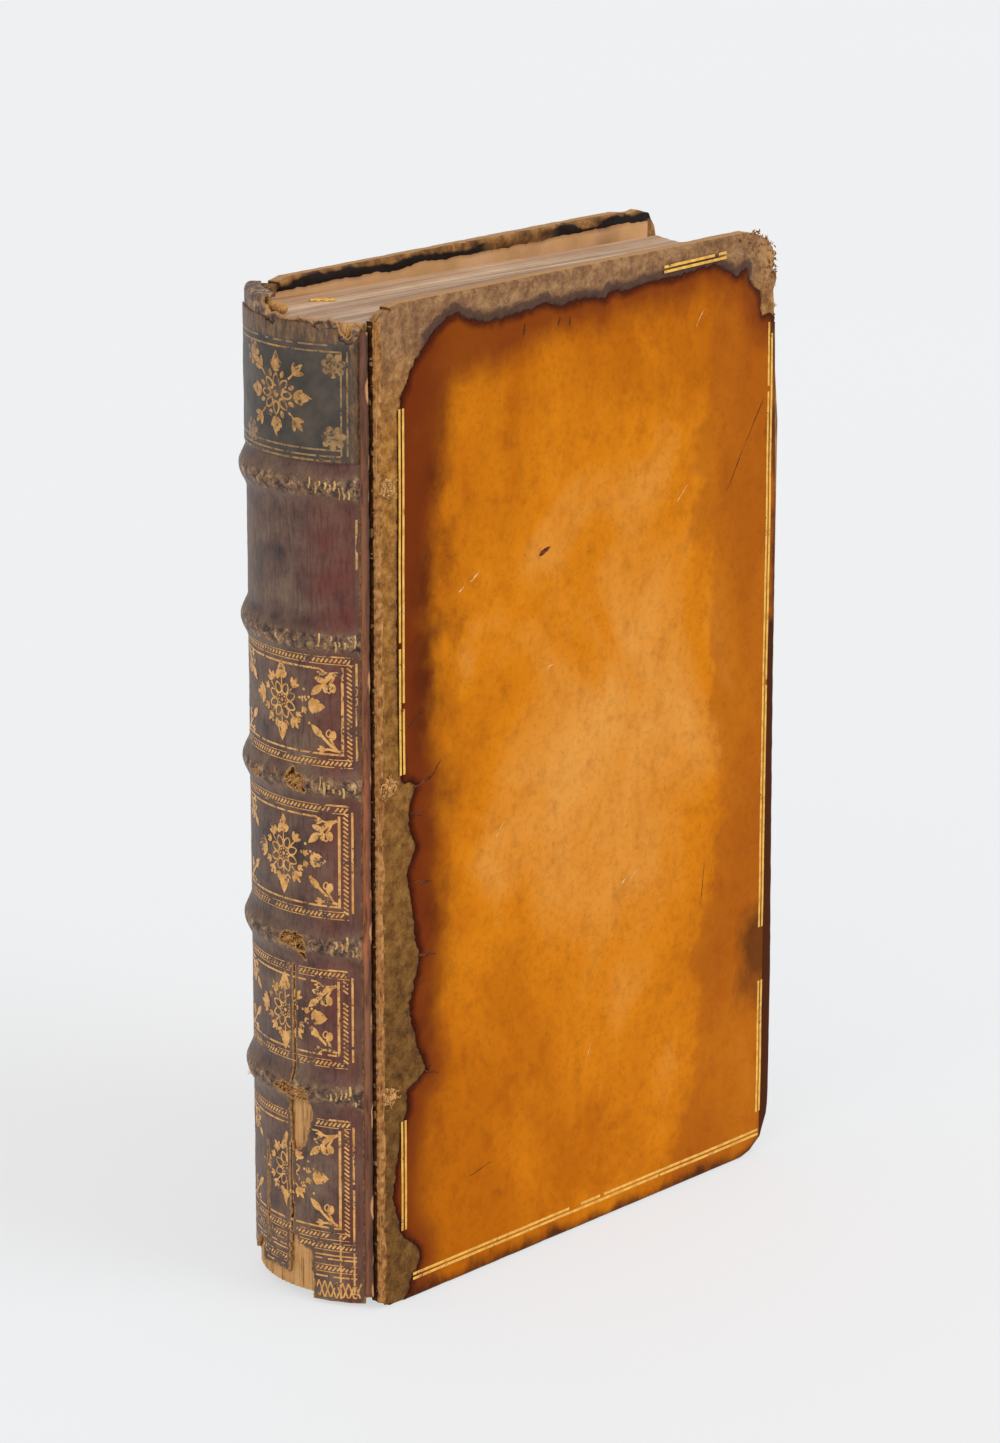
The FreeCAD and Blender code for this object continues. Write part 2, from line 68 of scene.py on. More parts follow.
def addNode(tree, kind, inputs=(), stops=(), **settings):
    # inputs are values or sockets, in a list or by name; a colour is a hex text. Returns the main output.
    node = tree.nodes.new("ShaderNode" + kind)
    if kind == "Mix":
        node.data_type = "RGBA"
    for name, value in settings.items():
        setattr(node, name, value)
    if not isinstance(inputs, dict):
        inputs = dict(zip(listedInputs.get(kind, range(len(inputs))), inputs))
    for name, value in inputs.items():
        if isinstance(value, bpy.types.NodeSocket):
            tree.links.new(value, node.inputs[name])
        else:
            node.inputs[name].default_value = linearColour(value) if isinstance(value, str) else value
    if stops:
        elements = node.color_ramp.elements
        while len(elements) < len(stops):
            elements.new(0.5)
        for element, (place, colour) in zip(elements, stops):
            element.position = place
            element.color = linearColour(colour) if isinstance(colour, str) else [colour] * 3 + [1.0]
    main = mainOutput.get(settings.get("operation"), mainOutput.get(kind, 0))
    return node.outputs[main] if node.outputs else node


def startMaterial(name, settings):
    material = bpy.data.materials.new(name)
    material.use_nodes = True
    tree = material.node_tree
    tree.nodes.clear()
    shader = addNode(tree, "BsdfPrincipled", settings)
    addNode(tree, "OutputMaterial", [shader])
    place = addNode(tree, "TexCoord").node.outputs["Object"]
    return material, tree, place


def endMaterial(material, sockets):
    for name, source in sockets.items():
        material.node_tree.links.new(source, material.node_tree.nodes["Principled BSDF"].inputs[name])
    return material


def tintedWhere(tree, under, colour, source, ranges=(), **settings):
    # A colour mixed over what lies under it, as far as a mapped range or a ramp of the source says.
    share = addNode(tree, "MapRange" if ranges else "ValToRGB", [source, *ranges], **settings)
    return addNode(tree, "Mix", [share, under, colour])


def raggedBy(tree, distance, pattern, swing, off):
    # A distance that a pattern makes uneven.
    part = addNode(tree, "Math", [pattern, swing, off], operation="MULTIPLY_ADD")
    return addNode(tree, "Math", [distance, part], operation="ADD")


def distanceFrom(tree, place, spot, scale):
    off = addNode(tree, "VectorMath", [place, spot], operation="SUBTRACT")
    scaled = addNode(tree, "VectorMath", [off, scale], operation="MULTIPLY")
    return addNode(tree, "VectorMath", [scaled], operation="LENGTH")


def shadedBy(tree, under, pattern, share, stops):
    # A pattern's tones multiplied over what lies under it.
    tone = addNode(tree, "ValToRGB", [pattern], stops=stops)
    return addNode(tree, "Mix", [share, under, tone], blend_type="MULTIPLY")


def finishPiece(bm, name, materials, body, replaced=(), smooth=True, thickness=0.0):
    bmesh.ops.scale(bm, vec=(mm, mm, mm), verts=bm.verts)
    mesh = bpy.data.meshes.new(name)
    bm.to_mesh(mesh)
    bm.free()
    for material in materials:
        mesh.materials.append(material)
    for face in mesh.polygons:
        face.use_smooth = smooth
    piece = bpy.data.objects.new(name, mesh)
    bpy.context.scene.collection.objects.link(piece)
    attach(piece, body)
    if replaced:
        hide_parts(*replaced)
    if thickness:
        shell = piece.modifiers.new("thickness", "SOLIDIFY")
        shell.thickness = thickness * mm
        shell.offset = -1.0


def waver(x, y, z):
    return noise.noise(Vector((x, y, z)))


def insideOutline(x, y, outline):
    inside = False
    for (xa, ya), (xb, yb) in zip(outline, outline[1:] + outline[:1]):
        if (ya > y) != (yb > y) and x < (xb - xa) * (y - ya) / (yb - ya) + xa:
            inside = not inside
    return inside


def raggedLine(points, spacing, depth, seed, closed=False):
    # Fills a line in with points and moves them off it by noise.
    ends = points + points[:1] if closed else points
    made = []
    for (xa, ya), (xb, yb) in zip(ends, ends[1:]):
        length = math.hypot(xb - xa, yb - ya)
        count = max(1, round(length / spacing))
        for step in range(count):
            t = step / count
            x, y = xa + (xb - xa) * t, ya + (yb - ya) * t
            push = waver(x * 0.9, y * 0.9, seed) + 0.6 * waver(x * 2.3, y * 2.3, seed + 7)
            if length > 0:
                x += -(yb - ya) / length * push * depth
                y += (xb - xa) / length * push * depth
            made.append((x, y))
    if not closed:
        made.append(points[-1])
    return made


def cutAcross(bm, spots, axis, near=1e-4):
    # Cuts the whole mesh at each spot along an axis.
    for spot in spots:
        bmesh.ops.bisect_plane(bm, geom=bm.verts[:] + bm.edges[:] + bm.faces[:],
                               plane_co=spot * Vector(axis), plane_no=axis, dist=near)


def faceTowards(bm, way):
    # Makes the normals agree, and turns the sheet round if it looks away from the given way.
    bmesh.ops.recalc_face_normals(bm, faces=bm.faces)
    if sum(f.normal.dot(Vector(way)) for f in bm.faces) < 0:
        bmesh.ops.reverse_faces(bm, faces=bm.faces)


def vertsOf(made):
    return [g for g in made if isinstance(g, bmesh.types.BMVert)]


# Camera at the photograph's angle
view = {"azimuth": 47.758, "elevation": 16.063, "roll": 0.127, "lens": 117.06, "distance": 943.67,
        "target": (-1.47, 0.0, 105.28)}


def makeCamera():
    a, e, t = (math.radians(view[k]) for k in ("azimuth", "elevation", "roll"))
    look = Vector((math.sin(a) * math.cos(e), math.cos(a) * math.cos(e), -math.sin(e)))
    right = Vector((math.cos(a), -math.sin(a), 0))
    upward = right.cross(look)
    turnedRight = right * math.cos(t) + upward * math.sin(t)
    turnedUp = upward * math.cos(t) - right * math.sin(t)
    spot = (Vector(view["target"]) - look * view["distance"]) * mm
    lens = bpy.data.cameras.new("bookCamera")
    lens.lens = view["lens"]
    lens.sensor_width = 36.0
    lens.clip_start = 0.05
    lens.clip_end = 50.0
    camera = bpy.data.objects.new("bookCamera", lens)
    axes = Matrix((turnedRight, turnedUp, -look)).transposed()
    camera.matrix_world = Matrix.Translation(spot) @ axes.to_4x4()
    bpy.context.scene.collection.objects.link(camera)
    bpy.context.scene.camera = camera


makeCamera()
print("camera in place")

# Studio: a pale floor, broad soft suns, which light the floor evenly, and an even white surrounding
studio = {
    "floorColour": "#eff1f2",
    "sweepColour": "#f1f2f3",
    "sweepShare": 0.68,
    "floorSize": 14.0,
    "worldColour": "#fbfbfc",
    "worldStrength": 0.66,
    # name, the way to the light, its angle in degrees, and how bright it makes white that faces it
    "suns": [("keySun", (0.30, -0.78, 0.55), 38.0, 0.40),
             ("spineSun", (-0.80, -0.20, 0.56), 50.0, 0.20)],
}


def makeStudio():
    material, tree, place = startMaterial("paintedFloor", {"Roughness": 0.6, "Specular IOR Level": 0.1})
    tint = addNode(tree, "TexNoise", [place, 1.5, 2.0])
    shade = addNode(tree, "ValToRGB", [tint], stops=[(0.3, studio["floorColour"]), (0.7, "#f1f3f4")])
    endMaterial(material, {"Base Color": shade})
    # The camera sees the floor as a paper sweep that is nearly white in itself and holds a light shadow.
    glow = addNode(tree, "Emission", {"Color": studio["sweepColour"], "Strength": 1.0})
    ray = addNode(tree, "LightPath").node.outputs
    seen = addNode(tree, "Math", [ray["Is Camera Ray"], ray["Is Glossy Ray"]], operation="MAXIMUM")
    share = addNode(tree, "Math", [seen, studio["sweepShare"]], operation="MULTIPLY")
    sweep = addNode(tree, "MixShader", [share, tree.nodes["Principled BSDF"].outputs[0], glow])
    output = next(node for node in tree.nodes if node.type == "OUTPUT_MATERIAL")
    tree.links.new(sweep, output.inputs["Surface"])
    bm = bmesh.new()
    bmesh.ops.create_grid(bm, x_segments=1, y_segments=1, size=studio["floorSize"] / 2)
    mesh = bpy.data.meshes.new("floor")
    bm.to_mesh(mesh)
    bm.free()
    mesh.materials.append(material)
    floor = bpy.data.objects.new("floor", mesh)
    bpy.context.scene.collection.objects.link(floor)
    world = bpy.data.worlds.new("studioWorld")
    world.use_nodes = True
    background = world.node_tree.nodes["Background"]
    background.inputs["Color"].default_value = linearColour(studio["worldColour"])
    background.inputs["Strength"].default_value = studio["worldStrength"]
    bpy.context.scene.world = world
    for name, way, angle, white in studio["suns"]:
        data = bpy.data.lights.new(name, "SUN")
        data.angle = math.radians(angle)
        data.energy = white * math.pi
        lamp = bpy.data.objects.new(name, data)
        lamp.location = Vector(way) * 2
        lamp.rotation_euler = (-Vector(way)).to_track_quat("-Z", "Y").to_euler()
        bpy.context.scene.collection.objects.link(lamp)
    bpy.context.scene.view_settings.view_transform = "Standard"


makeStudio()
print("studio in place")


# Spine calf: dark tanned calf, pared thin and pressed, so it is smooth with a low greyish shine,
# redder where the polish has gone, and torn edges show tan fibres.
spineCalfLook = {"dark": "#3d2c25", "mid": "#694d40", "grey": "#836d58", "red": "#6e2f26", "torn": "#b98850",
                 "blotch": 7.0, "grain": 0.55, "crackle": 2.2}


def makeSpineCalf():
    look = spineCalfLook
    material, tree, place = startMaterial(
        "pressedSpineCalf", {"Roughness": 0.4, "Specular IOR Level": 0.3, "IOR": 1.48})
    blotch = addNode(tree, "TexNoise", [place, 1000 / look["blotch"], 6.0, 0.62])
    base = addNode(tree, "ValToRGB", [blotch], stops=[(0.30, look["dark"]), (0.5, look["mid"]),
                                                      (0.72, look["grey"])])
    redness = addNode(tree, "Attribute", attribute_name="redness")
    patch = addNode(tree, "TexNoise", [place, 1000 / 5.0, 4.0])
    amount = addNode(tree, "Math", [redness, patch], operation="MULTIPLY")
    withRed = addNode(tree, "Mix", [amount, base, look["red"]])
    # long fine creases up the spine
    stretched = addNode(tree, "Mapping", [place, (1.0, 1.0, 0.14)])
    crease = addNode(tree, "TexNoise", [stretched, 1000 / 0.6, 3.0])
    creaseTone = addNode(tree, "ValToRGB", [crease], stops=[(0.36, 0.35), (0.5, 1.0)])
    creased = addNode(tree, "Mix", [0.45, withRed, creaseTone], blend_type="MULTIPLY")
    rub = addNode(tree, "Attribute", attribute_name="rub")
    warp = addNode(tree, "TexNoise", [place, 1000 / 1.6, 3.0])
    warped = addNode(tree, "VectorMath", [warp.node.outputs["Color"], (0.0012, 0.0012, 0.0012), place],
                     operation="MULTIPLY_ADD")
    craze = addNode(tree, "TexVoronoi", [warped, 1000 / 1.5], feature="DISTANCE_TO_EDGE")
    crazeTone = addNode(tree, "ValToRGB", [craze], stops=[(0.0, 0.5), (0.07, 1.0)])
    crazed = addNode(tree, "Mix", [0.22, creased, crazeTone], blend_type="MULTIPLY")
    bandOn = addNode(tree, "Math", [rub, 0.58], operation="MULTIPLY", use_clamp=True)
    banded = addNode(tree, "Mix", [bandOn, crazed, "#7d6245"])
    speck = addNode(tree, "TexNoise", [place, 1000 / 0.8, 5.0, 0.7])
    rubbed = addNode(tree, "Math", [rub, speck], operation="MULTIPLY")
    rubbedOn = addNode(tree, "ValToRGB", [rubbed], stops=[(0.2, 0.0), (0.42, 1.0)])
    wearPatch = addNode(tree, "TexNoise", [place, 1000 / 1.7, 6.0, 0.75, 0.5])
    wearTone = addNode(tree, "ValToRGB", [wearPatch], stops=[(0.40, "#2b1f1a"), (0.49, "#674c3a"),
                                                             (0.57, "#94704f"), (0.66, "#cda577")])
    withRub = addNode(tree, "Mix", [rubbedOn, banded, wearTone])
    torn = addNode(tree, "Attribute", attribute_name="torn")
    tornPart = addNode(tree, "Math", [speck, 0.9, -0.28], operation="MULTIPLY_ADD")
    tornSum = addNode(tree, "Math", [tornPart, torn], operation="ADD", use_clamp=True)
    final = tintedWhere(tree, withRub, look["torn"], tornSum, stops=[(0.72, 0.0), (0.95, 1.0)])
    dull = addNode(tree, "ValToRGB", [blotch], stops=[(0.3, 0.36), (0.7, 0.56)])
    grain = addNode(tree, "TexVoronoi", [place, 1000 / look["grain"]], feature="F1")
    fineBump = addNode(tree, "Bump", [grain, 0.35, 0.00008])
    wide = addNode(tree, "TexNoise", [place, 1000 / look["crackle"], 6.0, 0.6])
    wideBump = addNode(tree, "Bump", [wide, 0.55, 0.0004, fineBump])
    creaseBump = addNode(tree, "Bump", [creaseTone, 0.5, 0.00015, wideBump])
    crazeBump = addNode(tree, "Bump", [crazeTone, 0.25, 0.00012, creaseBump])
    return endMaterial(material, {"Base Color": final, "Roughness": dull, "Normal": crazeBump})


spineCalf = makeSpineCalf()


# The rounded spine: degrees round it are 0 at -X and positive towards the front board.
spine = {
    "radius": 24.0, "thickness": 0.78, "rearDeg": -50.0, "frontDeg": 39.0,
    "foot": 0.8, "head": 200.0, "bandHeight": 1.5, "bandHalf": 4.2, "cell": 0.42,
    "capRadius": 1.3,
    "redZones": [(28.0, 150.0, 14.0, 22.0), (30.0, 122.0, 12.0, 20.0), (32.0, 90.0, 14.0, 18.0),
                 (28.0, 60.0, 16.0, 14.0), (34.0, 20.0, 8.0, 30.0)],
}
spineLosses = [
    [(-14, 206), (-14, 198.8), (-9, 197.5), (-3, 197.3), (4, 196.8), (9, 197.4), (15, 197.1),
     (22, 197.3), (29, 196.9), (30.5, 194.5), (34, 193.9), (36, 196.1), (42, 195.7), (42, 206)],
    [(-52, -4), (-52, 4.6), (-42, 5.4), (-36, 4.8), (-31, 7.6), (-27, 9.2), (-24, 8.4), (-23, 4.4),
     (-12, 5.2), (-1, 4.8), (0, 13.0), (4, 13.4), (5, 11.4), (12, 10.8), (13, 0.8), (13, -4)],
    [(-20, 106.5), (-18, 108.0), (-16, 107.1), (-17, 105.9)],
    [(2, 107.5), (4, 109.5), (12, 108.1), (12.5, 105.1), (6, 105.9)],
    [(-2, 74.1), (0, 76.5), (10, 76.2), (13, 73.2), (7, 73.4)],
    [(8, 72.8), (11, 72.6), (11.5, 71.0), (9, 71.2)],
    [(-33, 43.2), (-31, 44.6), (-29, 43.4)],
    [(-7, 43.6), (-5, 45.2), (12, 44.4), (12, 42.6), (3, 42.5)],
    [(0.5, 41.4), (13, 42.0), (13, 38.7), (10.5, 35.2), (8, 32.2), (3, 31.2), (1, 33.2)],
]
# degrees, foot, head and width of the splits along the spine
spineCracks = [(3.5, 45.7, 69.6, 0.34), (0.6, 12.5, 32.2, 0.5), (-17.5, 9.0, 30.6, 0.34)]


def bandSwell(z):
    rise = 0.0
    for band in book["bands"]:
        t = (z - band) / spine["bandHalf"]
        if abs(t) < 1:
            rise = max(rise, spine["bandHeight"] * (0.5 + 0.5 * math.cos(math.pi * t)) ** 0.8)
    return rise


def spineRoughness(u, z):
    slow = waver(u * 0.16, z * 0.16, 3.0)
    quick = waver(u * 0.7, z * 0.7, 9.0)
    return 0.10 * slow + 0.04 * quick


def onSpine(u, z, lift=0.0):
    # u is the distance in mm round the spine's surface.
    a = u / spine["radius"]
    r = spine["radius"] + bandSwell(z) + spineRoughness(u, z) + lift
    return Vector((book["spineX"] - r * math.cos(a), -r * math.sin(a), z))


def arcOf(deg):
    return math.radians(deg) * spine["radius"]


def spineSheet(degs, heights, cell, losses, cracks, seed):
    # A flat sheet of leather over the spine, with its losses torn out. X is mm round the spine.
    low, high = arcOf(degs[0]), arcOf(degs[1])
    across, tall = high - low, heights[1] - heights[0]
    bm = bmesh.new()
    bmesh.ops.create_grid(bm, x_segments=round(across / cell), y_segments=round(tall / cell), size=1.0)
    bmesh.ops.scale(bm, vec=(across / 2, tall / 2, 1), verts=bm.verts)
    bmesh.ops.translate(bm, vec=((low + high) / 2, (heights[0] + heights[1]) / 2, 0), verts=bm.verts)
    gone = []
    for face in bm.faces:
        c = face.calc_center_median()
        x = c.x + 0.35 * waver(c.x * 1.1, c.y * 1.1, seed)
        y = c.y + 0.55 * waver(c.x * 1.1, c.y * 0.9, seed + 4)
        deg = math.degrees(x / spine["radius"])
        torn = any(insideOutline(deg, y, loss) for loss in losses)
        for middle, foot, top, width in cracks:
            bend = 0.35 * waver(c.y * 0.25, middle, seed)
            half = width / 2 * (0.7 + 0.9 * abs(waver(c.y * 0.5, middle, seed + 2)))
            if foot < c.y < top and abs(c.x - arcOf(middle) - bend) < max(half, cell * 0.52):
                torn = True
        if torn:
            gone.append(face)
    bmesh.ops.delete(bm, geom=gone, context="FACES")
    loose = [v for v in bm.verts if not v.link_faces]
    bmesh.ops.delete(bm, geom=loose, context="VERTS")
    for turn in range(2):
        edge = [v for v in bm.verts if v.is_boundary and low + 0.1 < v.co.x < high - 0.1
                and heights[0] + 0.1 < v.co.y < heights[1] - 0.1]
        bmesh.ops.smooth_vert(bm, verts=edge, factor=0.5, use_axis_x=True, use_axis_y=True)
    return bm


def edgeTree(bm, skip):
    rim = [v.co.copy() for v in bm.verts if v.is_boundary and not skip(v.co)]
    tree = kdtree.KDTree(len(rim))
    for index, spot in enumerate(rim):
        tree.insert(spot, index)
    tree.balance()
    return tree


def makeSpineLeather():
    s = spine
    top = s["head"] + 2.6
    bm = spineSheet((s["rearDeg"], s["frontDeg"]), (s["foot"], top), s["cell"], spineLosses, spineCracks, 2.0)
    rims = edgeTree(bm, lambda p: p.x < arcOf(s["rearDeg"]) + 0.3 or p.y > s["head"])
    tornLayer = bm.verts.layers.float.new("torn")
    redLayer = bm.verts.layers.float.new("redness")
    rubLayer = bm.verts.layers.float.new("rub")
    bend = s["head"] - s["capRadius"]
    for v in bm.verts:
        u, z = v.co.x, v.co.y
        gap = rims.find(v.co)[2]
        v[tornLayer] = max(0.0, 1.0 - gap / 1.1) * 0.75
        deg = math.degrees(u / s["radius"])
        v[redLayer] = min(1.2, sum(1.35 * math.exp(-((deg - d) / wide) ** 2 - ((z - zc) / tall) ** 2)
                                   for d, zc, wide, tall in s["redZones"]))
        swell = bandSwell(z) / s["bandHeight"]
        v[rubLayer] = max(0.0, swell - 0.2) * 1.15 + (0.9 if z > 193 else 0.0) + max(0.0, deg - 34.5) * 0.12
        if z > bend:
            # the head cap folds in over the endband
            a = min((z - bend) / s["capRadius"], math.pi / 2)
            past = max(0.0, (z - bend) - s["capRadius"] * math.pi / 2)
            spot = onSpine(u, bend, -s["capRadius"] * (1 - math.cos(a)) - past)
            spot.z = bend + s["capRadius"] * math.sin(a) + 0.1 * waver(u * 0.8, past, 1)
        else:
            spot = onSpine(u, z)
        # The leather lifts a little beside its splits and losses.
        lift = max(0.0, 1 - gap / 1.3) * 0.22 * (0.5 + waver(u * 0.5, z * 0.3, 5))
        out = Vector((spot.x - book["spineX"], spot.y, 0)).normalized()
        v.co = spot + out * lift
        v.co.y = min(v.co.y, book["halfThickness"] - 0.45)
    finishPiece(bm, "spine_calf", [spineCalf], "text_block", ["spine_leather"],
                thickness=s["thickness"])


makeSpineLeather()
print("spine leather made")


# Title label: thin black-dyed goat over the top panel, dull with rubbed brown edges.
label = {"degs": (-46.0, 38.3), "heights": (170.0, 196.3), "lift": 0.36, "cell": 0.6, "thickness": 0.32,
         "frays": [[(-12, 200), (-12, 196.2), (-6, 195.5), (0, 196.2), (0, 200)],
                   [(16, 200), (16, 196.2), (20, 195.2), (26, 196.0), (29, 195.6), (30.5, 193.4),
                    (35, 192.8), (39, 194.9), (39, 200)]],
         "black": "#302923", "sheen": "#564a3e", "rubbed": "#745334"}


def makeLabelMaterial():
    material, tree, place = startMaterial(
        "blackDyedGoat", {"Roughness": 0.46, "Specular IOR Level": 0.45, "IOR": 1.48})
    blotch = addNode(tree, "TexNoise", [place, 1000 / 6.0, 6.0, 0.6])
    base = addNode(tree, "ValToRGB", [blotch], stops=[(0.34, label["black"]), (0.66, label["sheen"])])
    rub = addNode(tree, "Attribute", attribute_name="rub")
    fibre = addNode(tree, "Mapping", [place, (1.0, 1.0, 0.3)])
    speck = addNode(tree, "TexNoise", [fibre, 1000 / 0.9, 6.0, 0.75])
    total = addNode(tree, "Math", [rub, speck], operation="MULTIPLY")
    rubbedOn = addNode(tree, "ValToRGB", [total], stops=[(0.24, 0.0), (0.5, 1.0)])
    brown = addNode(tree, "ValToRGB", [speck], stops=[(0.35, "#3f2f24"), (0.55, label["rubbed"]),
                                                      (0.75, "#a98354")])
    final = addNode(tree, "Mix", [rubbedOn, base, brown])
    grain = addNode(tree, "TexVoronoi", [place, 1000 / 0.7])
    fineBump = addNode(tree, "Bump", [grain, 0.4, 0.0001])
    roughBump = addNode(tree, "Bump", [total, 0.7, 0.0003, fineBump])
    return endMaterial(material, {"Base Color": final, "Normal": roughBump})


def makeTitleLabel():
    bm = spineSheet(label["degs"], label["heights"], label["cell"], label["frays"], [], 6.0)
    rubLayer = bm.verts.layers.float.new("rub")
    for v in bm.verts:
        u, z = v.co.x, v.co.y
        deg = math.degrees(u / spine["radius"])
        rub = max(0.0, (z - 191.8) / 1.6)
        rub = max(rub, (deg - 32.5) / 3.0, (-33.0 - deg) / 11.0, (171.6 - z) / 1.4)
        for spot, height in ((27.2, 188.6), (27.0, 174.8), (-21.0, 188.8), (-23.0, 173.6), (-3.0, 182.2)):
            gap = math.hypot((deg - spot) * 0.42, z - height)
            rub = max(rub, 0.62 - max(0.0, gap - 2.0) * 0.35)
        v[rubLayer] = min(1.0, max(0.08, rub))
        v.co = onSpine(u, z, label["lift"])
    finishPiece(bm, "black_title_label", [makeLabelMaterial()], "text_block",
                ["title_label"], thickness=label["thickness"])


makeTitleLabel()
print("title label made")


# Gold leaf tooled with hot brass stamps: pale orange gold, dull with age, and rubbed through.
goldLook = {"bright": "#edb268", "deep": "#c98d45", "bare": "#4a3730", "rubSize": 2.6, "pit": 0.45}


def makeGoldLeaf(name, bright, deep, bare, keep):
    # keep is the share of the gold that wear has left.
    material, tree, place = startMaterial(name, {"Roughness": 0.42, "Metallic": 0.35})
    tone = addNode(tree, "TexNoise", [place, 1000 / 1.6, 4.0])
    gold = addNode(tree, "ValToRGB", [tone], stops=[(0.35, deep), (0.6, bright)])
    wide = addNode(tree, "TexNoise", [place, 1000 / goldLook["rubSize"], 5.0, 0.7])
    pit = addNode(tree, "TexNoise", [place, 1000 / goldLook["pit"], 2.0])
    both = addNode(tree, "Math", [pit, 0.45, wide], operation="MULTIPLY_ADD")
    edge = 0.72 - 0.28 * (keep - 0.5)
    left = addNode(tree, "ValToRGB", [both], stops=[(edge - 0.09, 0.0), (edge, 1.0)])
    colour = addNode(tree, "Mix", [left, bare, gold])
    metal = addNode(tree, "Math", [left, 0.4], operation="MULTIPLY")
    bump = addNode(tree, "Bump", [both, 0.4, 0.00006])
    return endMaterial(material, {"Base Color": colour, "Metallic": metal, "Normal": bump})


spineGold = makeGoldLeaf("tooledGoldLeaf", goldLook["bright"], goldLook["deep"], goldLook["bare"], 0.62)
labelGold = makeGoldLeaf("dullLabelGold", "#ab8455", "#80603c", "#43362c", 0.6)
flowerGold = makeGoldLeaf("labelFlowerGold", "#cb9755", "#9b6d3a", "#43362c", 0.62)
bandGold = makeGoldLeaf("wornBandGold", "#d8ad6c", "#a77a42", "#5b4433", 0.7)


# Flat stamps in mm, drawn in a plane where X is round the spine and Y is up it.
def leafStamp(bm, at, length, width, angle, blunt=0.0):
    made = bmesh.ops.create_circle(bm, cap_ends=True, segments=12, radius=1.0)["verts"]
    for v in made:
        along = (1 + v.co.x) / 2
        point = 1 - (1 - blunt) * along ** 3
        v.co = Vector((along * length, v.co.y * width / 2 * point, 0))
    bmesh.ops.rotate(bm, verts=made, cent=(0, 0, 0), matrix=Matrix.Rotation(math.radians(angle), 3, "Z"))
    bmesh.ops.translate(bm, verts=made, vec=(at[0], at[1], 0))
    return made


def loopStamp(bm, at, length, width, angle, stroke):
    outer = leafStamp(bm, at, length, width, angle, 0.6)
    rim = list(dict.fromkeys(edge for v in outer for edge in v.link_edges))
    bmesh.ops.delete(bm, geom=outer[0].link_faces[:], context="FACES_ONLY")
    ring = bmesh.ops.extrude_edge_only(bm, edges=rim)["geom"]
    middle = sum((v.co for v in outer), Vector()) / len(outer)
    along = Vector((math.cos(math.radians(angle)), math.sin(math.radians(angle)), 0))
    for v in vertsOf(ring):
        off = v.co - middle
        part = along * off.dot(along)
        v.co = middle + part * (1 - 2 * stroke / length) + (off - part) * (1 - 2 * stroke / width)


def lineStamp(bm, start, end, width):
    a, b = Vector((*start, 0)), Vector((*end, 0))
    made = bmesh.ops.create_grid(bm, x_segments=1, y_segments=1, size=1.0)["verts"]
    bmesh.ops.scale(bm, vec=((b - a).length / 2, width / 2, 1), verts=made)
    turn = math.atan2(b.y - a.y, b.x - a.x)
    bmesh.ops.rotate(bm, verts=made, cent=(0, 0, 0), matrix=Matrix.Rotation(turn, 3, "Z"))
    bmesh.ops.translate(bm, verts=made, vec=(a + b) / 2)


def curveStamp(bm, points, width):
    for start, end in zip(points, points[1:]):
        lineStamp(bm, start, end, width)


def ropeStamp(bm, start, end, width, seed, keep=1.0, sides=True):
    # A rope roll: slanted strokes between two fine lines.
    a, b = Vector((*start, 0)), Vector((*end, 0))
    along = (b - a).normalized()
    across = Vector((-along.y, along.x, 0))
    pitch = 0.9
    count = int((b - a).length / pitch)
    for step in range(count):
        middle = a + along * (step + 0.5) * pitch
        if waver(middle.x * 0.35, middle.y * 0.35, seed) + 0.5 > keep:
            continue
        slant = across * width * 0.5 + along * 0.36
        lineStamp(bm, (middle - slant)[:2], (middle + slant)[:2], 0.38)
    for side in (-1, 1) if sides else ():
        shift = across * side * (width / 2 + 0.34)
        brokenLine(bm, (a + shift)[:2], (b + shift)[:2], 0.17, seed + side, keep - 0.05)


def brokenLine(bm, start, end, width, seed, keep=1.0):
    a, b = Vector((*start, 0)), Vector((*end, 0))
    count = max(1, round((b - a).length / 1.2))
    run = None
    for step in range(count + 1):
        middle = a.lerp(b, min(1.0, (step + 0.5) / count))
        there = step < count and waver(middle.x * 0.3, middle.y * 0.3, seed) + 0.5 <= keep
        if there and run is None:
            run = a.lerp(b, step / count)
        if not there and run is not None:
            lineStamp(bm, run[:2], a.lerp(b, step / count)[:2], width)
            run = None


def clusterStamp(bm, at, angle, size, lobes=3, spread=30):
    for k in range(lobes):
        turn = angle + (k - (lobes - 1) / 2) * spread
        length = size * (1.0 if abs(turn - angle) < 1 else 0.82)
        leafStamp(bm, at, length, size * 0.38, turn, 0.7)


def spotsRound(x, y):
    # Gives the function that finds a spot by its angle and its distance from the middle.
    def spot(angle, reach):
        a = math.radians(angle)
        return (x + math.cos(a) * reach, y + math.sin(a) * reach)

    return spot


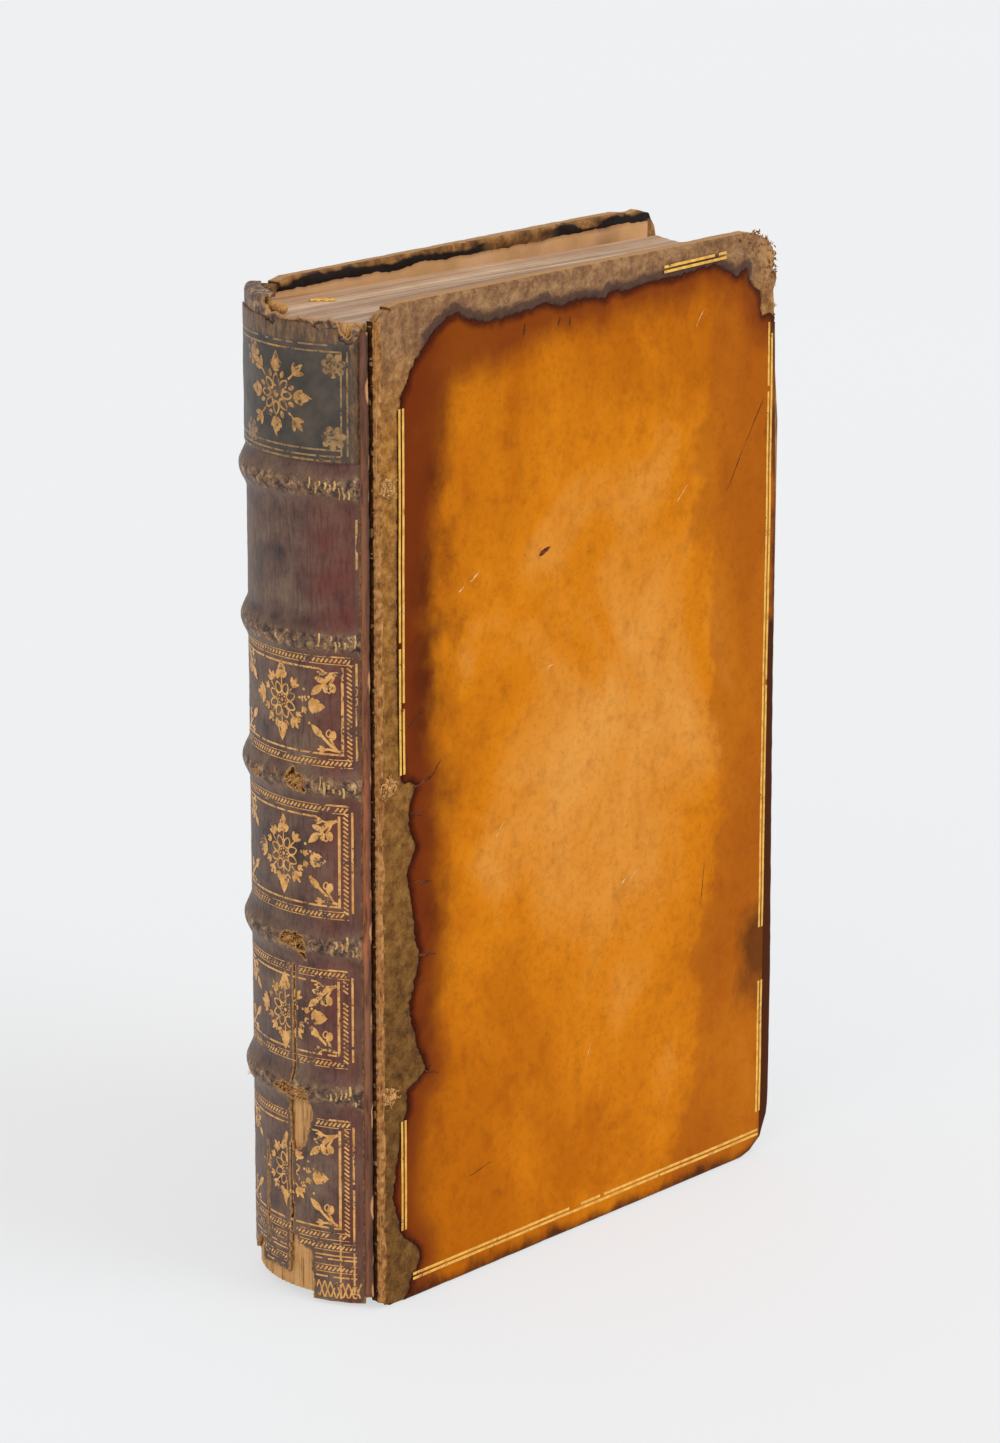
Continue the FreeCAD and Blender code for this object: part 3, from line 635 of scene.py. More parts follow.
def rosetteStamp(bm, x, y):
    spot = spotsRound(x, y)
    for k in range(8):
        angle = 45 * k + 22.5
        loopStamp(bm, spot(angle, 1.15), 2.6, 2.0, angle, 0.36)
        leafStamp(bm, spot(45 * k, 0.75), 0.42, 0.42, 45 * k, 1.0)
        if k not in (0, 4):
            lineStamp(bm, spot(45 * k, 2.4), spot(45 * k, 4.4), 0.28)
    leafStamp(bm, (x - 0.38, y), 0.76, 0.76, 0, 1.0)
    for up in (1, -1):
        leafStamp(bm, (x, y + up * 4.3), 3.9, 2.4, 90 * up)
        for side in (1, -1):
            leafStamp(bm, (x + side * 0.3, y + up * 4.4), 1.7, 1.0, up * (90 - side * 38), 0.8)
    leafStamp(bm, (x + 6.7, y), 3.4, 3.1, 0)
    for turn in (-58, -32, 32, 58):
        leafStamp(bm, (x + 6.6, y), 1.9, 0.8, turn, 0.7)
    clusterStamp(bm, (x + 5.2, y + 0.5), 62, 1.5)
    clusterStamp(bm, (x + 5.2, y - 0.5), -62, 1.5)
    clusterStamp(bm, (x - 5.2, y), 180, 3.2, 5, 27)
    for angle, size in ((50, 2.3), (-50, 2.6), (-76, 1.5), (126, 2.4), (106, 1.4), (-130, 2.2), (-108, 1.6),
                        (154, 1.6), (-156, 1.7), (-27, 1.5)):
        clusterStamp(bm, spot(angle, 4.1), angle, size, 3, 36)
    for angle, reach in ((16, 4.4), (14, 6.5), (-37, 5.2), (-29, 7.3), (30, 6.0)):
        leafStamp(bm, spot(angle, reach), 0.6, 0.6, 0, 1.0)


def sprayStamp(bm, x, y, right, up, tall):
    # A sprig that grows from a panel's corner: right and up say where the panel's middle lies.
    def spot(a, b):
        return (x + right * a, y + up * b)

    def turned(angle):
        angle = angle if right > 0 else 180 - angle
        return angle if up > 0 else -angle

    curveStamp(bm, [spot(0.2, 0.3), spot(1.7, 1.2), spot(3.2, 2.5), spot(4.4, 3.7)], 0.6)
    leafStamp(bm, spot(4.0, 3.2), 3.2, 1.6, turned(44), 0.2)
    curveStamp(bm, [spot(1.2, 0.8), spot(1.7, 2.0), spot(2.4, 3.0)], 0.45)
    leafStamp(bm, spot(2.0, 2.6), 2.0, 1.5, turned(104), 0.8)
    loopStamp(bm, spot(2.7, 3.1), 1.7, 1.4, turned(100), 0.3)
    curveStamp(bm, [spot(0.9, 0.5), spot(2.6, 0.8), spot(3.9, 0.5)], 0.45)
    clusterStamp(bm, spot(3.3, 0.7), turned(-4), 1.7)
    if tall:
        leafStamp(bm, spot(3.2, 2.5), 2.4, 1.3, turned(-18), 0.6)
        leafStamp(bm, spot(3.4, 2.7), 2.0, 1.2, turned(98), 0.7)
        leafStamp(bm, spot(1.5, 1.0), 2.2, 1.0, turned(30), 0.8)


# Panels from the third down: node, foot and head of the inner lines, right-hand lines in degrees,
# middle of the rosette, and how much of the gold is left
panels = [
    {"node": "spine_gilding_3", "low": 113.1, "high": 129.9, "posts": (30.0, 33.3, 36.6), "flower": 122.4,
     "keep": 0.95},
    {"node": "spine_gilding_4", "low": 82.6, "high": 100.4, "posts": (28.0, 31.1, 34.2), "flower": 91.6,
     "keep": 0.9},
    {"node": "spine_gilding_5", "low": 52.2, "high": 67.0, "posts": (27.2, 30.5, 33.8), "flower": 59.6,
     "keep": 0.85},
    {"node": "spine_gilding_6", "low": 16.2, "high": 36.2, "posts": (27.2, 30.5, 33.8), "flower": 26.4,
     "keep": 0.9},
]
rollOff = 1.75      # from an inner line out to the middle of the rope roll
leftPosts = (-38.5, -41.7, -45.0)


def insideLosses(u, z):
    deg = math.degrees(u / spine["radius"])
    if any(insideOutline(deg, z, loss) for loss in spineLosses):
        return True
    return any(foot < z < top and abs(u - arcOf(middle)) < width * 0.75
               for middle, foot, top, width in spineCracks)


def layOnSpine(bm, lift, low, high, overLosses=False):
    # Cuts the flat stamps into small faces, drops what lies over a loss, and lays the rest on the spine.
    cutAcross(bm, [step * 1.0 + 0.37 for step in range(-20, 19)], (1, 0, 0), 1e-5)
    heights = [math.floor(low)]
    while heights[-1] + 1.2 < high:
        heights.append(heights[-1] + 1.2)
    cutAcross(bm, [z + 0.23 for z in heights], (0, 1, 0), 1e-5)
    if not overLosses:
        gone = [f for f in bm.faces if insideLosses(f.calc_center_median().x, f.calc_center_median().y)]
        bmesh.ops.delete(bm, geom=gone, context="FACES")
    for v in bm.verts:
        v.co = onSpine(v.co.x, v.co.y, lift)
    bmesh.ops.recalc_face_normals(bm, faces=bm.faces)
    for face in bm.faces:
        c = face.calc_center_median()
        if face.normal.dot(Vector((c.x - book["spineX"], c.y, 0))) < 0:
            face.normal_flip()


def makePanelGilding(panel, number):
    bm = bmesh.new()
    low, high, keep = panel["low"], panel["high"], panel["keep"]
    inner, rope, outer = (arcOf(d) for d in panel["posts"])
    innerLeft, ropeLeft, outerLeft = (arcOf(d) for d in leftPosts)
    top, foot = high + rollOff, low - rollOff
    brokenLine(bm, (innerLeft, low), (inner, low), 0.4, number, keep + 0.1)
    brokenLine(bm, (innerLeft, high), (inner - 4.6, high), 0.4, number + 3, keep)
    ropeStamp(bm, (outerLeft, foot), (outer - 0.8, foot), 0.8, number + 5, keep)
    ropeStamp(bm, (outerLeft, top), (outer - 0.6, top), 0.8, number + 8, keep)
    lineStamp(bm, (inner, low - 0.2), (inner, high + 0.5), 0.55)
    ropeStamp(bm, (rope, foot + 0.2), (rope, top - 0.2), 0.95, number + 11, keep + 0.3, False)
    brokenLine(bm, (outer, foot + 0.6), (outer, top - 0.3), 0.45, number + 12, keep + 0.15)
    lineStamp(bm, (innerLeft, low), (innerLeft, high), 0.42)
    ropeStamp(bm, (ropeLeft, foot), (ropeLeft, top), 0.85, number + 14, keep, False)
    lineStamp(bm, (outerLeft, foot), (outerLeft, top), 0.42)
    lineStamp(bm, (arcOf(22), top + 0.9), (outer - 1.0, top + 0.9), 0.3)
    rosetteStamp(bm, arcOf(-2.3), panel["flower"])
    sprayStamp(bm, inner - 0.2, low + 0.2, -1, 1, False)
    sprayStamp(bm, inner - 0.2, high - 0.1, -1, -1, True)
    sprayStamp(bm, innerLeft + 0.2, low + 0.2, 1, 1, False)
    sprayStamp(bm, innerLeft + 0.2, high - 0.2, 1, -1, True)
    if panel["node"] == "spine_gilding_6":
        # rolls and a criss-cross below the lowest panel
        for z in (12.2, 7.6):
            ropeStamp(bm, (arcOf(-48), z), (arcOf(35), z), 0.8, z, 0.95)
        for line in (9.6, 10.4, 5.9):
            brokenLine(bm, (arcOf(-48), line), (arcOf(35), line), 0.32, line, 0.8)
        lineStamp(bm, (inner, 1.5), (inner, 15.0), 0.4)
        lineStamp(bm, (outer, 2.5), (outer, 15.0), 0.4)
        for step in range(8):
            x = arcOf(13) + step * 1.25
            lineStamp(bm, (x, 1.2), (x + 1.3, 4.9), 0.34)
            lineStamp(bm, (x, 4.9), (x + 1.3, 1.2), 0.34)
    layOnSpine(bm, 0.05, foot - 2 if number != 6 else 1, top + 2)
    finishPiece(bm, "gilt_panel_%d" % number, [spineGold], "text_block", [panel["node"]])


for number, panel in enumerate(panels, 3):
    makePanelGilding(panel, number)
print("spine gilding made")


def makeLabelTooling():
    bm = bmesh.new()
    left, right = arcOf(-42), arcOf(30.2)
    for z, keep in ((171.3, 1.1), (172.5, 1.1), (191.2, 1.05), (192.4, 0.8), (170.4, 0.6)):
        brokenLine(bm, (left, z), (right, z), 0.36, z, keep)
    for deg in (30.6, 33.4):
        lineStamp(bm, (arcOf(deg), 171.4), (arcOf(deg), 191.4), 0.36)
    for deg, z in ((27.2, 188.6), (27.0, 174.8), (-21.0, 188.8), (-23.0, 173.6)):
        x = arcOf(deg)
        leafStamp(bm, (x - 1.5, z), 3.0, 3.0, 0, 1.0)
        for k in range(7):
            turn = 360 / 7 * k + 10
            leafStamp(bm, spotsRound(x, z)(turn, 1.1), 1.35, 1.3, turn, 1.0)
    # one plain flower in the middle, of the same kind as in the panels below
    x, z = arcOf(-3.0), 182.0
    spot = spotsRound(x, z)
    for k in range(8):
        loopStamp(bm, spot(45 * k, 1.2), 2.9, 2.0, 45 * k, 0.48)
        leafStamp(bm, spot(45 * k + math.degrees(0.39), 3.4), 1.5, 1.0, 45 * k + 22.5, 0.7)
    leafStamp(bm, (x - 0.7, z), 1.4, 1.4, 0, 1.0)
    for turn in (0, 90, 180, 270):
        leafStamp(bm, spot(turn, 4.2), 4.2, 2.5, turn)
        for side in (-34, 34):
            leafStamp(bm, spot(turn, 4.3), 2.5, 1.2, turn + side, 0.7)
        curveStamp(bm, [spot(turn + 45, r) for r in (4.4, 5.4, 6.4)], 0.45)
        clusterStamp(bm, spot(turn + 45, 6.1), turn + 45, 2.9, 3, 40)
    layOnSpine(bm, label["lift"] + 0.04, 169, 194, True)
    for face in bm.faces:
        c = face.calc_center_median()
        face.material_index = 1 if math.hypot(c.z - 182.0, c.y - 1.2) < 9.6 else 0
    finishPiece(bm, "label_tooling", [labelGold, flowerGold], "text_block",
                ["title_label_gilding"])


makeLabelTooling()


def makeBandTooling():
    # What wear has left of the rolls on the raised bands: short strokes near the front joint.
    bm = bmesh.new()
    rng = random.Random(11)
    for band, first in zip(book["bands"], (24, 27, 20, 20, 16)):
        deg = first
        while deg < 37:
            x = arcOf(deg)
            reach = rng.uniform(0.4, 1.3)
            middle = band - 0.2 + rng.uniform(-1.2, 1.2)
            curveStamp(bm, [(x, middle - reach), (x + 0.25, middle), (x + 0.05, middle + reach)],
                       rng.uniform(0.25, 0.5))
            deg += rng.uniform(1.6, 3.2)
    brokenLine(bm, (arcOf(37), 149.6), (arcOf(37), 159.3), 0.45, 4.0, 0.95)
    layOnSpine(bm, 0.05, 40, 168)
    finishPiece(bm, "band_tooling", [bandGold], "text_block")


makeBandTooling()
print("label and band tooling made")


# Hemp cords: two plies twisted together, tan with age.
cordLook = {"light": "#dca868", "dark": "#94622f", "twist": 0.9, "radius": 23.88, "plyOut": 0.42,
            "plyUp": 0.62, "thick": 0.56}


def makeFibrous(name, roughness, specular, pattern, stops, strength, depth):
    # a matt material with one pattern, which colours it and also roughens it
    material, tree, place = startMaterial(name, {"Roughness": roughness, "Specular IOR Level": specular})
    fibre = addNode(tree, "TexNoise", {"Vector": place, **pattern})
    tone = addNode(tree, "ValToRGB", [fibre], stops=stops)
    bump = addNode(tree, "Bump", [fibre, strength, depth])
    return endMaterial(material, {"Base Color": tone, "Normal": bump})


hempCord = makeFibrous("agedHempCord", 0.9, 0.2, {"Scale": 1000 / 0.5, "Detail": 6.0, "Roughness": 0.7},
                       [(0.3, cordLook["dark"]), (0.62, cordLook["light"])], 0.8, 0.0002)


def tubeAlong(bm, points, radius, segments, taper=1.0):
    # A tube through points, made by extruding a ring from each to the next.
    first = (points[1] - points[0]).normalized()
    turn = first.to_track_quat("Z", "Y").to_matrix()
    ring = bmesh.ops.create_circle(bm, cap_ends=True, segments=segments, radius=radius)["verts"]
    bmesh.ops.rotate(bm, verts=ring, cent=(0, 0, 0), matrix=turn)
    bmesh.ops.translate(bm, verts=ring, vec=points[0])
    face = ring[0].link_faces[0]
    for before, here in zip(points, points[1:]):
        made = bmesh.ops.extrude_discrete_faces(bm, faces=[face])
        face = made["faces"][0]
        middle = face.calc_center_median()
        way = (here - before).normalized()
        swing = Matrix.Identity(3)
        if face.normal.length > 0:
            swing = face.normal.rotation_difference(way).to_matrix()
        verts = list(face.verts)
        bmesh.ops.rotate(bm, verts=verts, cent=middle, matrix=swing)
        bmesh.ops.translate(bm, verts=verts, vec=here - middle)
        if taper != 1.0:
            bmesh.ops.scale(bm, vec=(taper,) * 3, verts=verts, space=Matrix.Translation(-here))
        face.normal_update()


def makeSewingCord(z, number):
    bm = bmesh.new()
    for ply in (0, math.pi):
        points = []
        for step in range(79):
            deg = -41 + step
            a = math.radians(deg)
            wind = ply + a * spine["radius"] / cordLook["twist"]
            r = cordLook["radius"] + cordLook["plyOut"] * math.cos(wind)
            points.append(Vector((book["spineX"] - r * math.cos(a), -r * math.sin(a),
                                  z + cordLook["plyUp"] * math.sin(wind))))
        tubeAlong(bm, points, cordLook["thick"], 8)
    bmesh.ops.recalc_face_normals(bm, faces=bm.faces)
    finishPiece(bm, "hemp_cord_%d" % number, [hempCord], "text_block", ["sewing_cord_%d" % number])


for number, z in enumerate(reversed(book["bands"]), 1):
    makeSewingCord(z, number)
print("sewing cords made")


# Leaves: rag paper sewn in gatherings, with dusty cut edges; the folds at the back are glued and brown.
leaves = {"front": 15.3, "rearAtJoint": 15.0, "rearMid": 13.0, "rearAtEdge": 9.5,
          "start": 3.5, "settle": 18.0, "axisX": 17.8, "halfBack": 15.45, "depth": 115.5,
          "slant": 2.5, "hollow": 4.0, "foot": 1.7, "head": 196.5, "sag": 0.011,
          "backRadius": 23.15, "gatherings": 22,
          "dust": "#b79c86", "paper": "#e4caa9", "dark": "#806656", "fold": "#cc9a5e", "foldDark": "#774c27"}


def makeLeafMaterials():
    # cut edges: lines along the sheets, drawn far coarser than paper so that they show
    material, tree, place = startMaterial("dustyLeafEdges", {"Roughness": 0.85, "Specular IOR Level": 0.2})
    flat = addNode(tree, "Mapping", [place, (0.02, 1.0, 0.02)])
    lines = addNode(tree, "TexNoise", [flat, 1000 / 0.45, 4.0, 0.8])
    broad = addNode(tree, "TexNoise", [flat, 1000 / 3.2, 3.0])
    stain = addNode(tree, "TexNoise", [place, 1000 / 14.0, 4.0])
    mixed = addNode(tree, "Math", [lines, 0.55, broad], operation="MULTIPLY_ADD")
    tone = addNode(tree, "ValToRGB", [mixed], stops=[(0.52, leaves["dark"]), (0.70, leaves["dust"]),
                                                     (0.92, leaves["paper"])])
    final = shadedBy(tree, tone, stain, 0.4, [(0.35, "#b99a80"), (0.65, "#ffffff")])
    # a pink line of old colour along the spine edge of the head
    reach = distanceFrom(tree, place, (book["spineX"] * mm, 0, 0), (1, 1, 0))
    pinkOn = addNode(tree, "MapRange", [reach, 0.0217, 0.0228, 0.0, 0.75])
    nearSpine = addNode(tree, "SeparateXYZ", [place]).node.outputs
    sideOn = addNode(tree, "MapRange", [nearSpine["X"], -0.050, -0.054, 0.0, 1.0])
    pink = addNode(tree, "Math", [pinkOn, sideOn], operation="MULTIPLY")
    tinted = addNode(tree, "Mix", [pink, final, "#b07468"])
    # a cream line where two gatherings part, and brown dust towards the rear board
    along = addNode(tree, "Math", [nearSpine["X"], 0.0488, -0.0019], operation="MULTIPLY_ADD")
    offLine = addNode(tree, "Math", [nearSpine["Y"], along], operation="ADD")
    offSize = addNode(tree, "Math", [offLine], operation="ABSOLUTE")
    creamed = tintedWhere(tree, tinted, "#e2cba2", offSize, [0.00012, 0.00035, 0.75, 0.0])
    rearOn = addNode(tree, "MapRange", [nearSpine["Y"], 0.003, 0.012, 0.0, 0.6])
    browned = addNode(tree, "Mix", [rearOn, creamed, "#cf9f78"], blend_type="MULTIPLY")
    bump = addNode(tree, "Bump", [mixed, 0.4, 0.0002])
    endMaterial(material, {"Base Color": browned, "Normal": bump})

    folds, tree, place = startMaterial("gluedSectionFolds", {"Roughness": 0.8, "Specular IOR Level": 0.3})
    tallScale = addNode(tree, "Mapping", [place, (1.0, 1.0, 0.05)])
    streak = addNode(tree, "TexNoise", [tallScale, 1000 / 0.7, 5.0, 0.7])
    patches = addNode(tree, "TexNoise", [place, 1000 / 3.0, 3.0])
    foldMix = addNode(tree, "Math", [patches, 0.4, streak], operation="MULTIPLY_ADD")
    tone = addNode(tree, "ValToRGB", [foldMix], stops=[(0.5, leaves["foldDark"]), (0.66, leaves["fold"]),
                                                    (0.9, "#e0b077")])
    bump = addNode(tree, "Bump", [foldMix, 0.9, 0.0003])
    return material, endMaterial(folds, {"Base Color": tone, "Normal": bump})


leafEdges, sectionFolds = makeLeafMaterials()


def makeLeaves():
    p = leaves
    bm = bmesh.new()
    count = p["gatherings"]
    # gatherings of slightly uneven thickness, varied by noise
    cuts = [0.0]
    for step in range(count):
        cuts.append(cuts[-1] + 1.0 + 0.35 * waver(step * 1.7, 0.3, 0.0))
    cuts = [c / cuts[-1] for c in cuts]

    def rearAt(x):
        if x < p["settle"]:
            slope = (p["rearMid"] - p["rearAtJoint"]) * (x - p["start"]) / (p["settle"] - p["start"])
            return p["rearAtJoint"] + slope
        share = (x - p["settle"]) / (p["depth"] - p["settle"])
        return p["rearMid"] + (p["rearAtEdge"] - p["rearMid"]) * share

    def sheetY(x, t):
        return -p["front"] + (rearAt(max(x, p["start"])) + p["front"]) * t

    def foreX(t):
        return p["depth"] - p["slant"] * t - p["hollow"] * math.sin(math.pi * t)

    def backX(y):
        return p["axisX"] - math.sqrt(max(0.0, p["backRadius"] ** 2 - y * y))

    for index in range(count):
        ta, tb = cuts[index], cuts[index + 1]
        middle = (ta + tb) / 2
        # the back of each gathering is a rounded fold
        outline = []
        for step in range(7):
            t = tb + (ta - tb) * step / 6
            y = max(-p["halfBack"], min(p["halfBack"], sheetY(p["start"], t)))
            dip = 0.22 * abs(2 * step / 6 - 1) ** 3
            outline.append((backX(y) + dip, y))
        for x in (p["start"] + 2, p["settle"], 60.0, 90.0):
            outline.append((x, sheetY(x, ta)))
        proud = 0.25 * waver(index * 2.1, 5.0, 0.0)
        for step in range(5):
            t = ta + (tb - ta) * step / 4
            x = foreX(t) + proud
            outline.append((x, sheetY(x, t)))
        for x in (90.0, 60.0, p["settle"], p["start"] + 2):
            outline.append((x, sheetY(x, tb)))
        rise = 0.16 * waver(index * 1.3, 9.0, 0.0)
        verts = [bm.verts.new((book["boardX"] + x, y, p["foot"] - p["sag"] * x)) for x, y in outline]
        face = bm.faces.new(verts)
        made = bmesh.ops.extrude_face_region(bm, geom=[face], use_keep_orig=True)
        bmesh.ops.translate(bm, verts=vertsOf(made["geom"]), vec=(0, 0, p["head"] - p["foot"] + rise))
    bmesh.ops.recalc_face_normals(bm, faces=bm.faces)
    for face in bm.faces:
        c = face.calc_center_median()
        atBack = math.hypot(c.x - book["spineX"], c.y) > 22.4 and c.x < book["boardX"] + 3.5
        face.material_index = 1 if atBack and abs(face.normal.z) < 0.5 else 0
        if abs(face.normal.y) > 0.9 and not atBack:
            face.material_index = 2
    finishPiece(bm, "gathered_leaves", [leafEdges, sectionFolds], "text_block", ["text_block"],
                smooth=False)


makeLeaves()
print("leaves made")


# Covers: the calf is glued over pasteboard and turned in.
covers = {"outer": 18.4, "inner": 15.55, "raised": 0.35, "cell": 1.5, "round": 0.9, "turnIn": 9.0,
          "thickness": 0.3}
frontOutline = [(0, 3.0), (1.2, 0.8), (3.0, 0), (111, 0), (114, 0.8), (117.4, 3.2), (119.6, 8), (120, 12),
                (120, 40), (119.2, 100), (118.8, 140), (117.8, 175), (117.7, 182), (117.4, 186.8),
                (118.2, 188.8), (117.0, 191.4), (117.6, 194.6), (115.4, 197.6), (111.8, 199.2), (108, 200),
                (6, 200), (2.1, 199.1), (0, 197)]
rearOutline = [(0, 3.0), (1.2, 0.8), (3.0, 0), (110, 0), (115, 2.0), (117, 7), (117, 193.4), (116.4, 196),
               (114.2, 198.8), (111.0, 199.7), (109, 199.4), (104, 200), (8, 200), (3.6, 199), (0, 196)]
headTear = [(6.3, 182.0), (8.5, 185.5), (11.5, 189.6), (14.8, 192.7), (17.0, 194.3), (21.5, 196.2),
            (25.6, 193.8), (30.4, 193.1), (36.6, 193.0), (42.3, 193.6), (46.6, 194.1), (51.0, 192.9),
            (56.2, 193.5), (64.8, 192.7), (65.7, 193.6), (71.6, 193.3), (77.7, 193.9), (86.8, 194.0),
            (97.6, 194.8), (101.1, 193.1), (104.8, 191.4), (107.7, 192.8), (109.1, 189.5), (112.4, 187.0),
            (112.9, 182.0)]
spineTear = [(5.9, 178.0), (5.5, 150.0), (5.4, 128.0), (6.2, 107.2), (10.7, 105.6), (8.5, 102.0),
             (8.4, 97.1), (10.3, 93.6), (7.9, 88.0), (9.3, 81.0), (10.2, 74.4), (11.4, 71.0), (9.4, 64.3),
             (8.2, 61.5), (9.3, 57.1), (11, 51.5), (13.3, 46.7), (7.6, 44.1), (7.6, 39.9), (5.2, 32.3),
             (3.5, 22.3), (6, 14.2), (10.6, 10.1), (11.4, 7.7), (8.6, 4.0), (7.5, 0.6)]
rearHeadTear = [(4.0, 196.8), (12.0, 198.3), (22.0, 197.9), (33.0, 198.6), (47.0, 198.2), (60.0, 198.8),
                (74.0, 198.1), (88.0, 198.6), (100.0, 197.7), (108.0, 196.0), (112.5, 193.0)]
rearSpineTear = [(2.4, 190.0), (1.6, 160.0), (2.6, 128.0), (1.8, 96.0), (2.9, 64.0), (2.0, 36.0), (3.4, 14.0),
                 (2.8, 4.0), (2.6, 0.6)]


# Polished calf: glazed with egg white and burnished, so the amber colour is deep and glossy,
# clouded by handling, and dark reddish brown beside the tear.
calfLook = {"amber": "#d27c0c", "pale": "#dd953f", "deep": "#b96504", "red": "#541e07", "rim": "#431709",
            "fore": "#93480f", "cloud": 34.0, "mottle": 6.0, "speck": 1.1, "pore": 0.45}


def makePolishedCalf():
    look = calfLook
    material, tree, place = startMaterial(
        "polishedAmberCalf", {"Roughness": 0.38, "Specular IOR Level": 0.03, "IOR": 1.5})
    axis = addNode(tree, "SeparateXYZ", [place]).node.outputs
    tall = addNode(tree, "Mapping", [place, (1.0, 1.0, 0.75)])
    cloud = addNode(tree, "TexNoise", [tall, 1000 / look["cloud"], 5.0, 0.55, 0.6])
    # painted sheen: the amber is paler near the middle of the board and darker far from it, in place of a
    # broad soft reflection
    away = distanceFrom(tree, place, (0.009, 0, 0.096), (1 / 0.05, 0, 1 / 0.085))
    paintedSheenOn = addNode(tree, "MapRange", [away, 0.2, 1.25, 0.15, -0.17], interpolation_type="SMOOTHSTEP")
    cloudAndSheen = addNode(tree, "Math", [cloud, paintedSheenOn], operation="ADD")
    base = addNode(tree, "ValToRGB", [cloudAndSheen], stops=[(0.30, look["deep"]), (0.50, look["amber"]),
                                                   (0.74, look["pale"])])
    # faint upright streaks from burnishing
    upright = addNode(tree, "Mapping", [place, (1.0, 1.0, 0.22)])
    streak = addNode(tree, "TexNoise", [upright, 1000 / 4.5, 5.0, 0.6])
    streaked = shadedBy(tree, base, streak, 0.16, [(0.32, 0.76), (0.6, 1.0)])
    mottle = addNode(tree, "TexNoise", [place, 1000 / look["mottle"], 7.0, 0.68])
    mottled = shadedBy(tree, streaked, mottle, 0.26,
                       [(0.36, "#c49a70"), (0.5, "#ffffff"), (0.66, "#fff0dc")])
    # fine grain, drawn at 1.3 mm so that it shows
    fine = addNode(tree, "TexNoise", [place, 1000 / 1.3, 4.0, 0.7])
    grained = shadedBy(tree, mottled, fine, 0.6, [(0.32, 0.72), (0.52, 1.0)])
    # an old tide mark: darker towards the fore-edge
    tide = addNode(tree, "TexNoise", [place, 1000 / 26.0, 4.0, 0.6])
    tideX = addNode(tree, "Math", [tide, 0.05, axis["X"]], operation="MULTIPLY_ADD")
    tided = tintedWhere(tree, grained, look["fore"], tideX, [0.0635, 0.0675, 0.0, 0.42])
    # reddish brown beside the spine, ragged by noise
    edgeNoise = addNode(tree, "TexNoise", [tall, 1000 / 9.0, 5.0, 0.6])
    near = addNode(tree, "Math", [edgeNoise, -0.022, axis["X"]], operation="MULTIPLY_ADD")
    atFoot = addNode(tree, "MapRange", [axis["Z"], 0.02, 0.075, 0.008, 0.0])
    nearer = addNode(tree, "Math", [near, atFoot], operation="ADD")
    reddened = tintedWhere(tree, tided, look["red"], nearer, [-0.0595, -0.0415, 0.98, 0.0],
                           interpolation_type="SMOOTHERSTEP")
    # a dark rim along the tear
    tear = addNode(tree, "Attribute", attribute_name="tear")
    tearSum = raggedBy(tree, tear, mottle, 2.6, -1.3)
    rimOn = addNode(tree, "MapRange", [tearSum, 0.1, 1.9, 0.92, 0.0], interpolation_type="SMOOTHSTEP")
    haloSum = raggedBy(tree, tear, edgeNoise, 11.0, -5.2)
    # it spreads further in the upper corner by the spine
    leftward = addNode(tree, "MapRange", [axis["X"], -0.045, 0.005, -8.0, 0.0])
    upward = addNode(tree, "MapRange", [axis["Z"], 0.145, 0.178])
    corner = addNode(tree, "Math", [leftward, upward], operation="MULTIPLY")
    haloWide = addNode(tree, "Math", [haloSum, corner], operation="ADD")
    haloed = tintedWhere(tree, reddened, "#74300a", haloWide, [0.8, 9.5, 0.85, 0.0],
                         interpolation_type="SMOOTHSTEP")
    rimmed = addNode(tree, "Mix", [rimOn, haloed, look["rim"]])
    # edges darkened by handling
    edge = addNode(tree, "Attribute", attribute_name="margin")
    edgeSum = raggedBy(tree, edge, edgeNoise, 9.0, -4.1)
    handled = addNode(tree, "MapRange", [edgeSum, 0.3, 3.8, 0.9, 0.0], interpolation_type="SMOOTHSTEP")
    # outside the right-hand rule the lower half is nearly black, and a stain breaks the rule
    outside = addNode(tree, "MapRange", [axis["X"], 0.0601, 0.0606])
    lower = addNode(tree, "MapRange", [axis["Z"], 0.121, 0.117, 0.0, 0.96])
    strip = addNode(tree, "Math", [outside, lower], operation="MULTIPLY")
    stainSize = distanceFrom(tree, place, (0.0605, 0, 0.0455), (1, 0, 0.7))
    stainEdge = addNode(tree, "Math", [edgeNoise, 0.014, stainSize], operation="MULTIPLY_ADD")
    stained = addNode(tree, "MapRange", [stainEdge, 0.0115, 0.0175, 0.75, 0.0])
    dirty = addNode(tree, "Math", [strip, stained], operation="MAXIMUM")
    handledAll = addNode(tree, "Math", [handled, dirty], operation="MAXIMUM")
    darkened = addNode(tree, "Mix", [handledAll, rimmed, "#3f1c0d"])
    speck = addNode(tree, "TexNoise", [place, 1000 / look["speck"], 3.0, 0.6])
    specked = tintedWhere(tree, darkened, "#5c2d10", speck, stops=[(0.70, 0.0), (0.78, 0.8)])
    dull = addNode(tree, "ValToRGB", [cloud], stops=[(0.3, 0.30), (0.7, 0.46)])
    pores = addNode(tree, "TexVoronoi", [place, 1000 / look["pore"]])
    poreBump = addNode(tree, "Bump", [pores, 0.18, 0.00005])
    softBump = addNode(tree, "Bump", [mottle, 0.35, 0.0003, poreBump])
    return endMaterial(material, {"Base Color": specked, "Roughness": dull, "Normal": softBump})


# Flaked calf: the grain layer is gone and the fibrous underside shows, matt like suede.
suedeLook = {"light": "#b4823f", "mid": "#8b5b24", "dark": "#57371a", "mauve": "#48322b", "bare": "#b88a5a",
             "fibre": 0.5, "patch": 2.6}


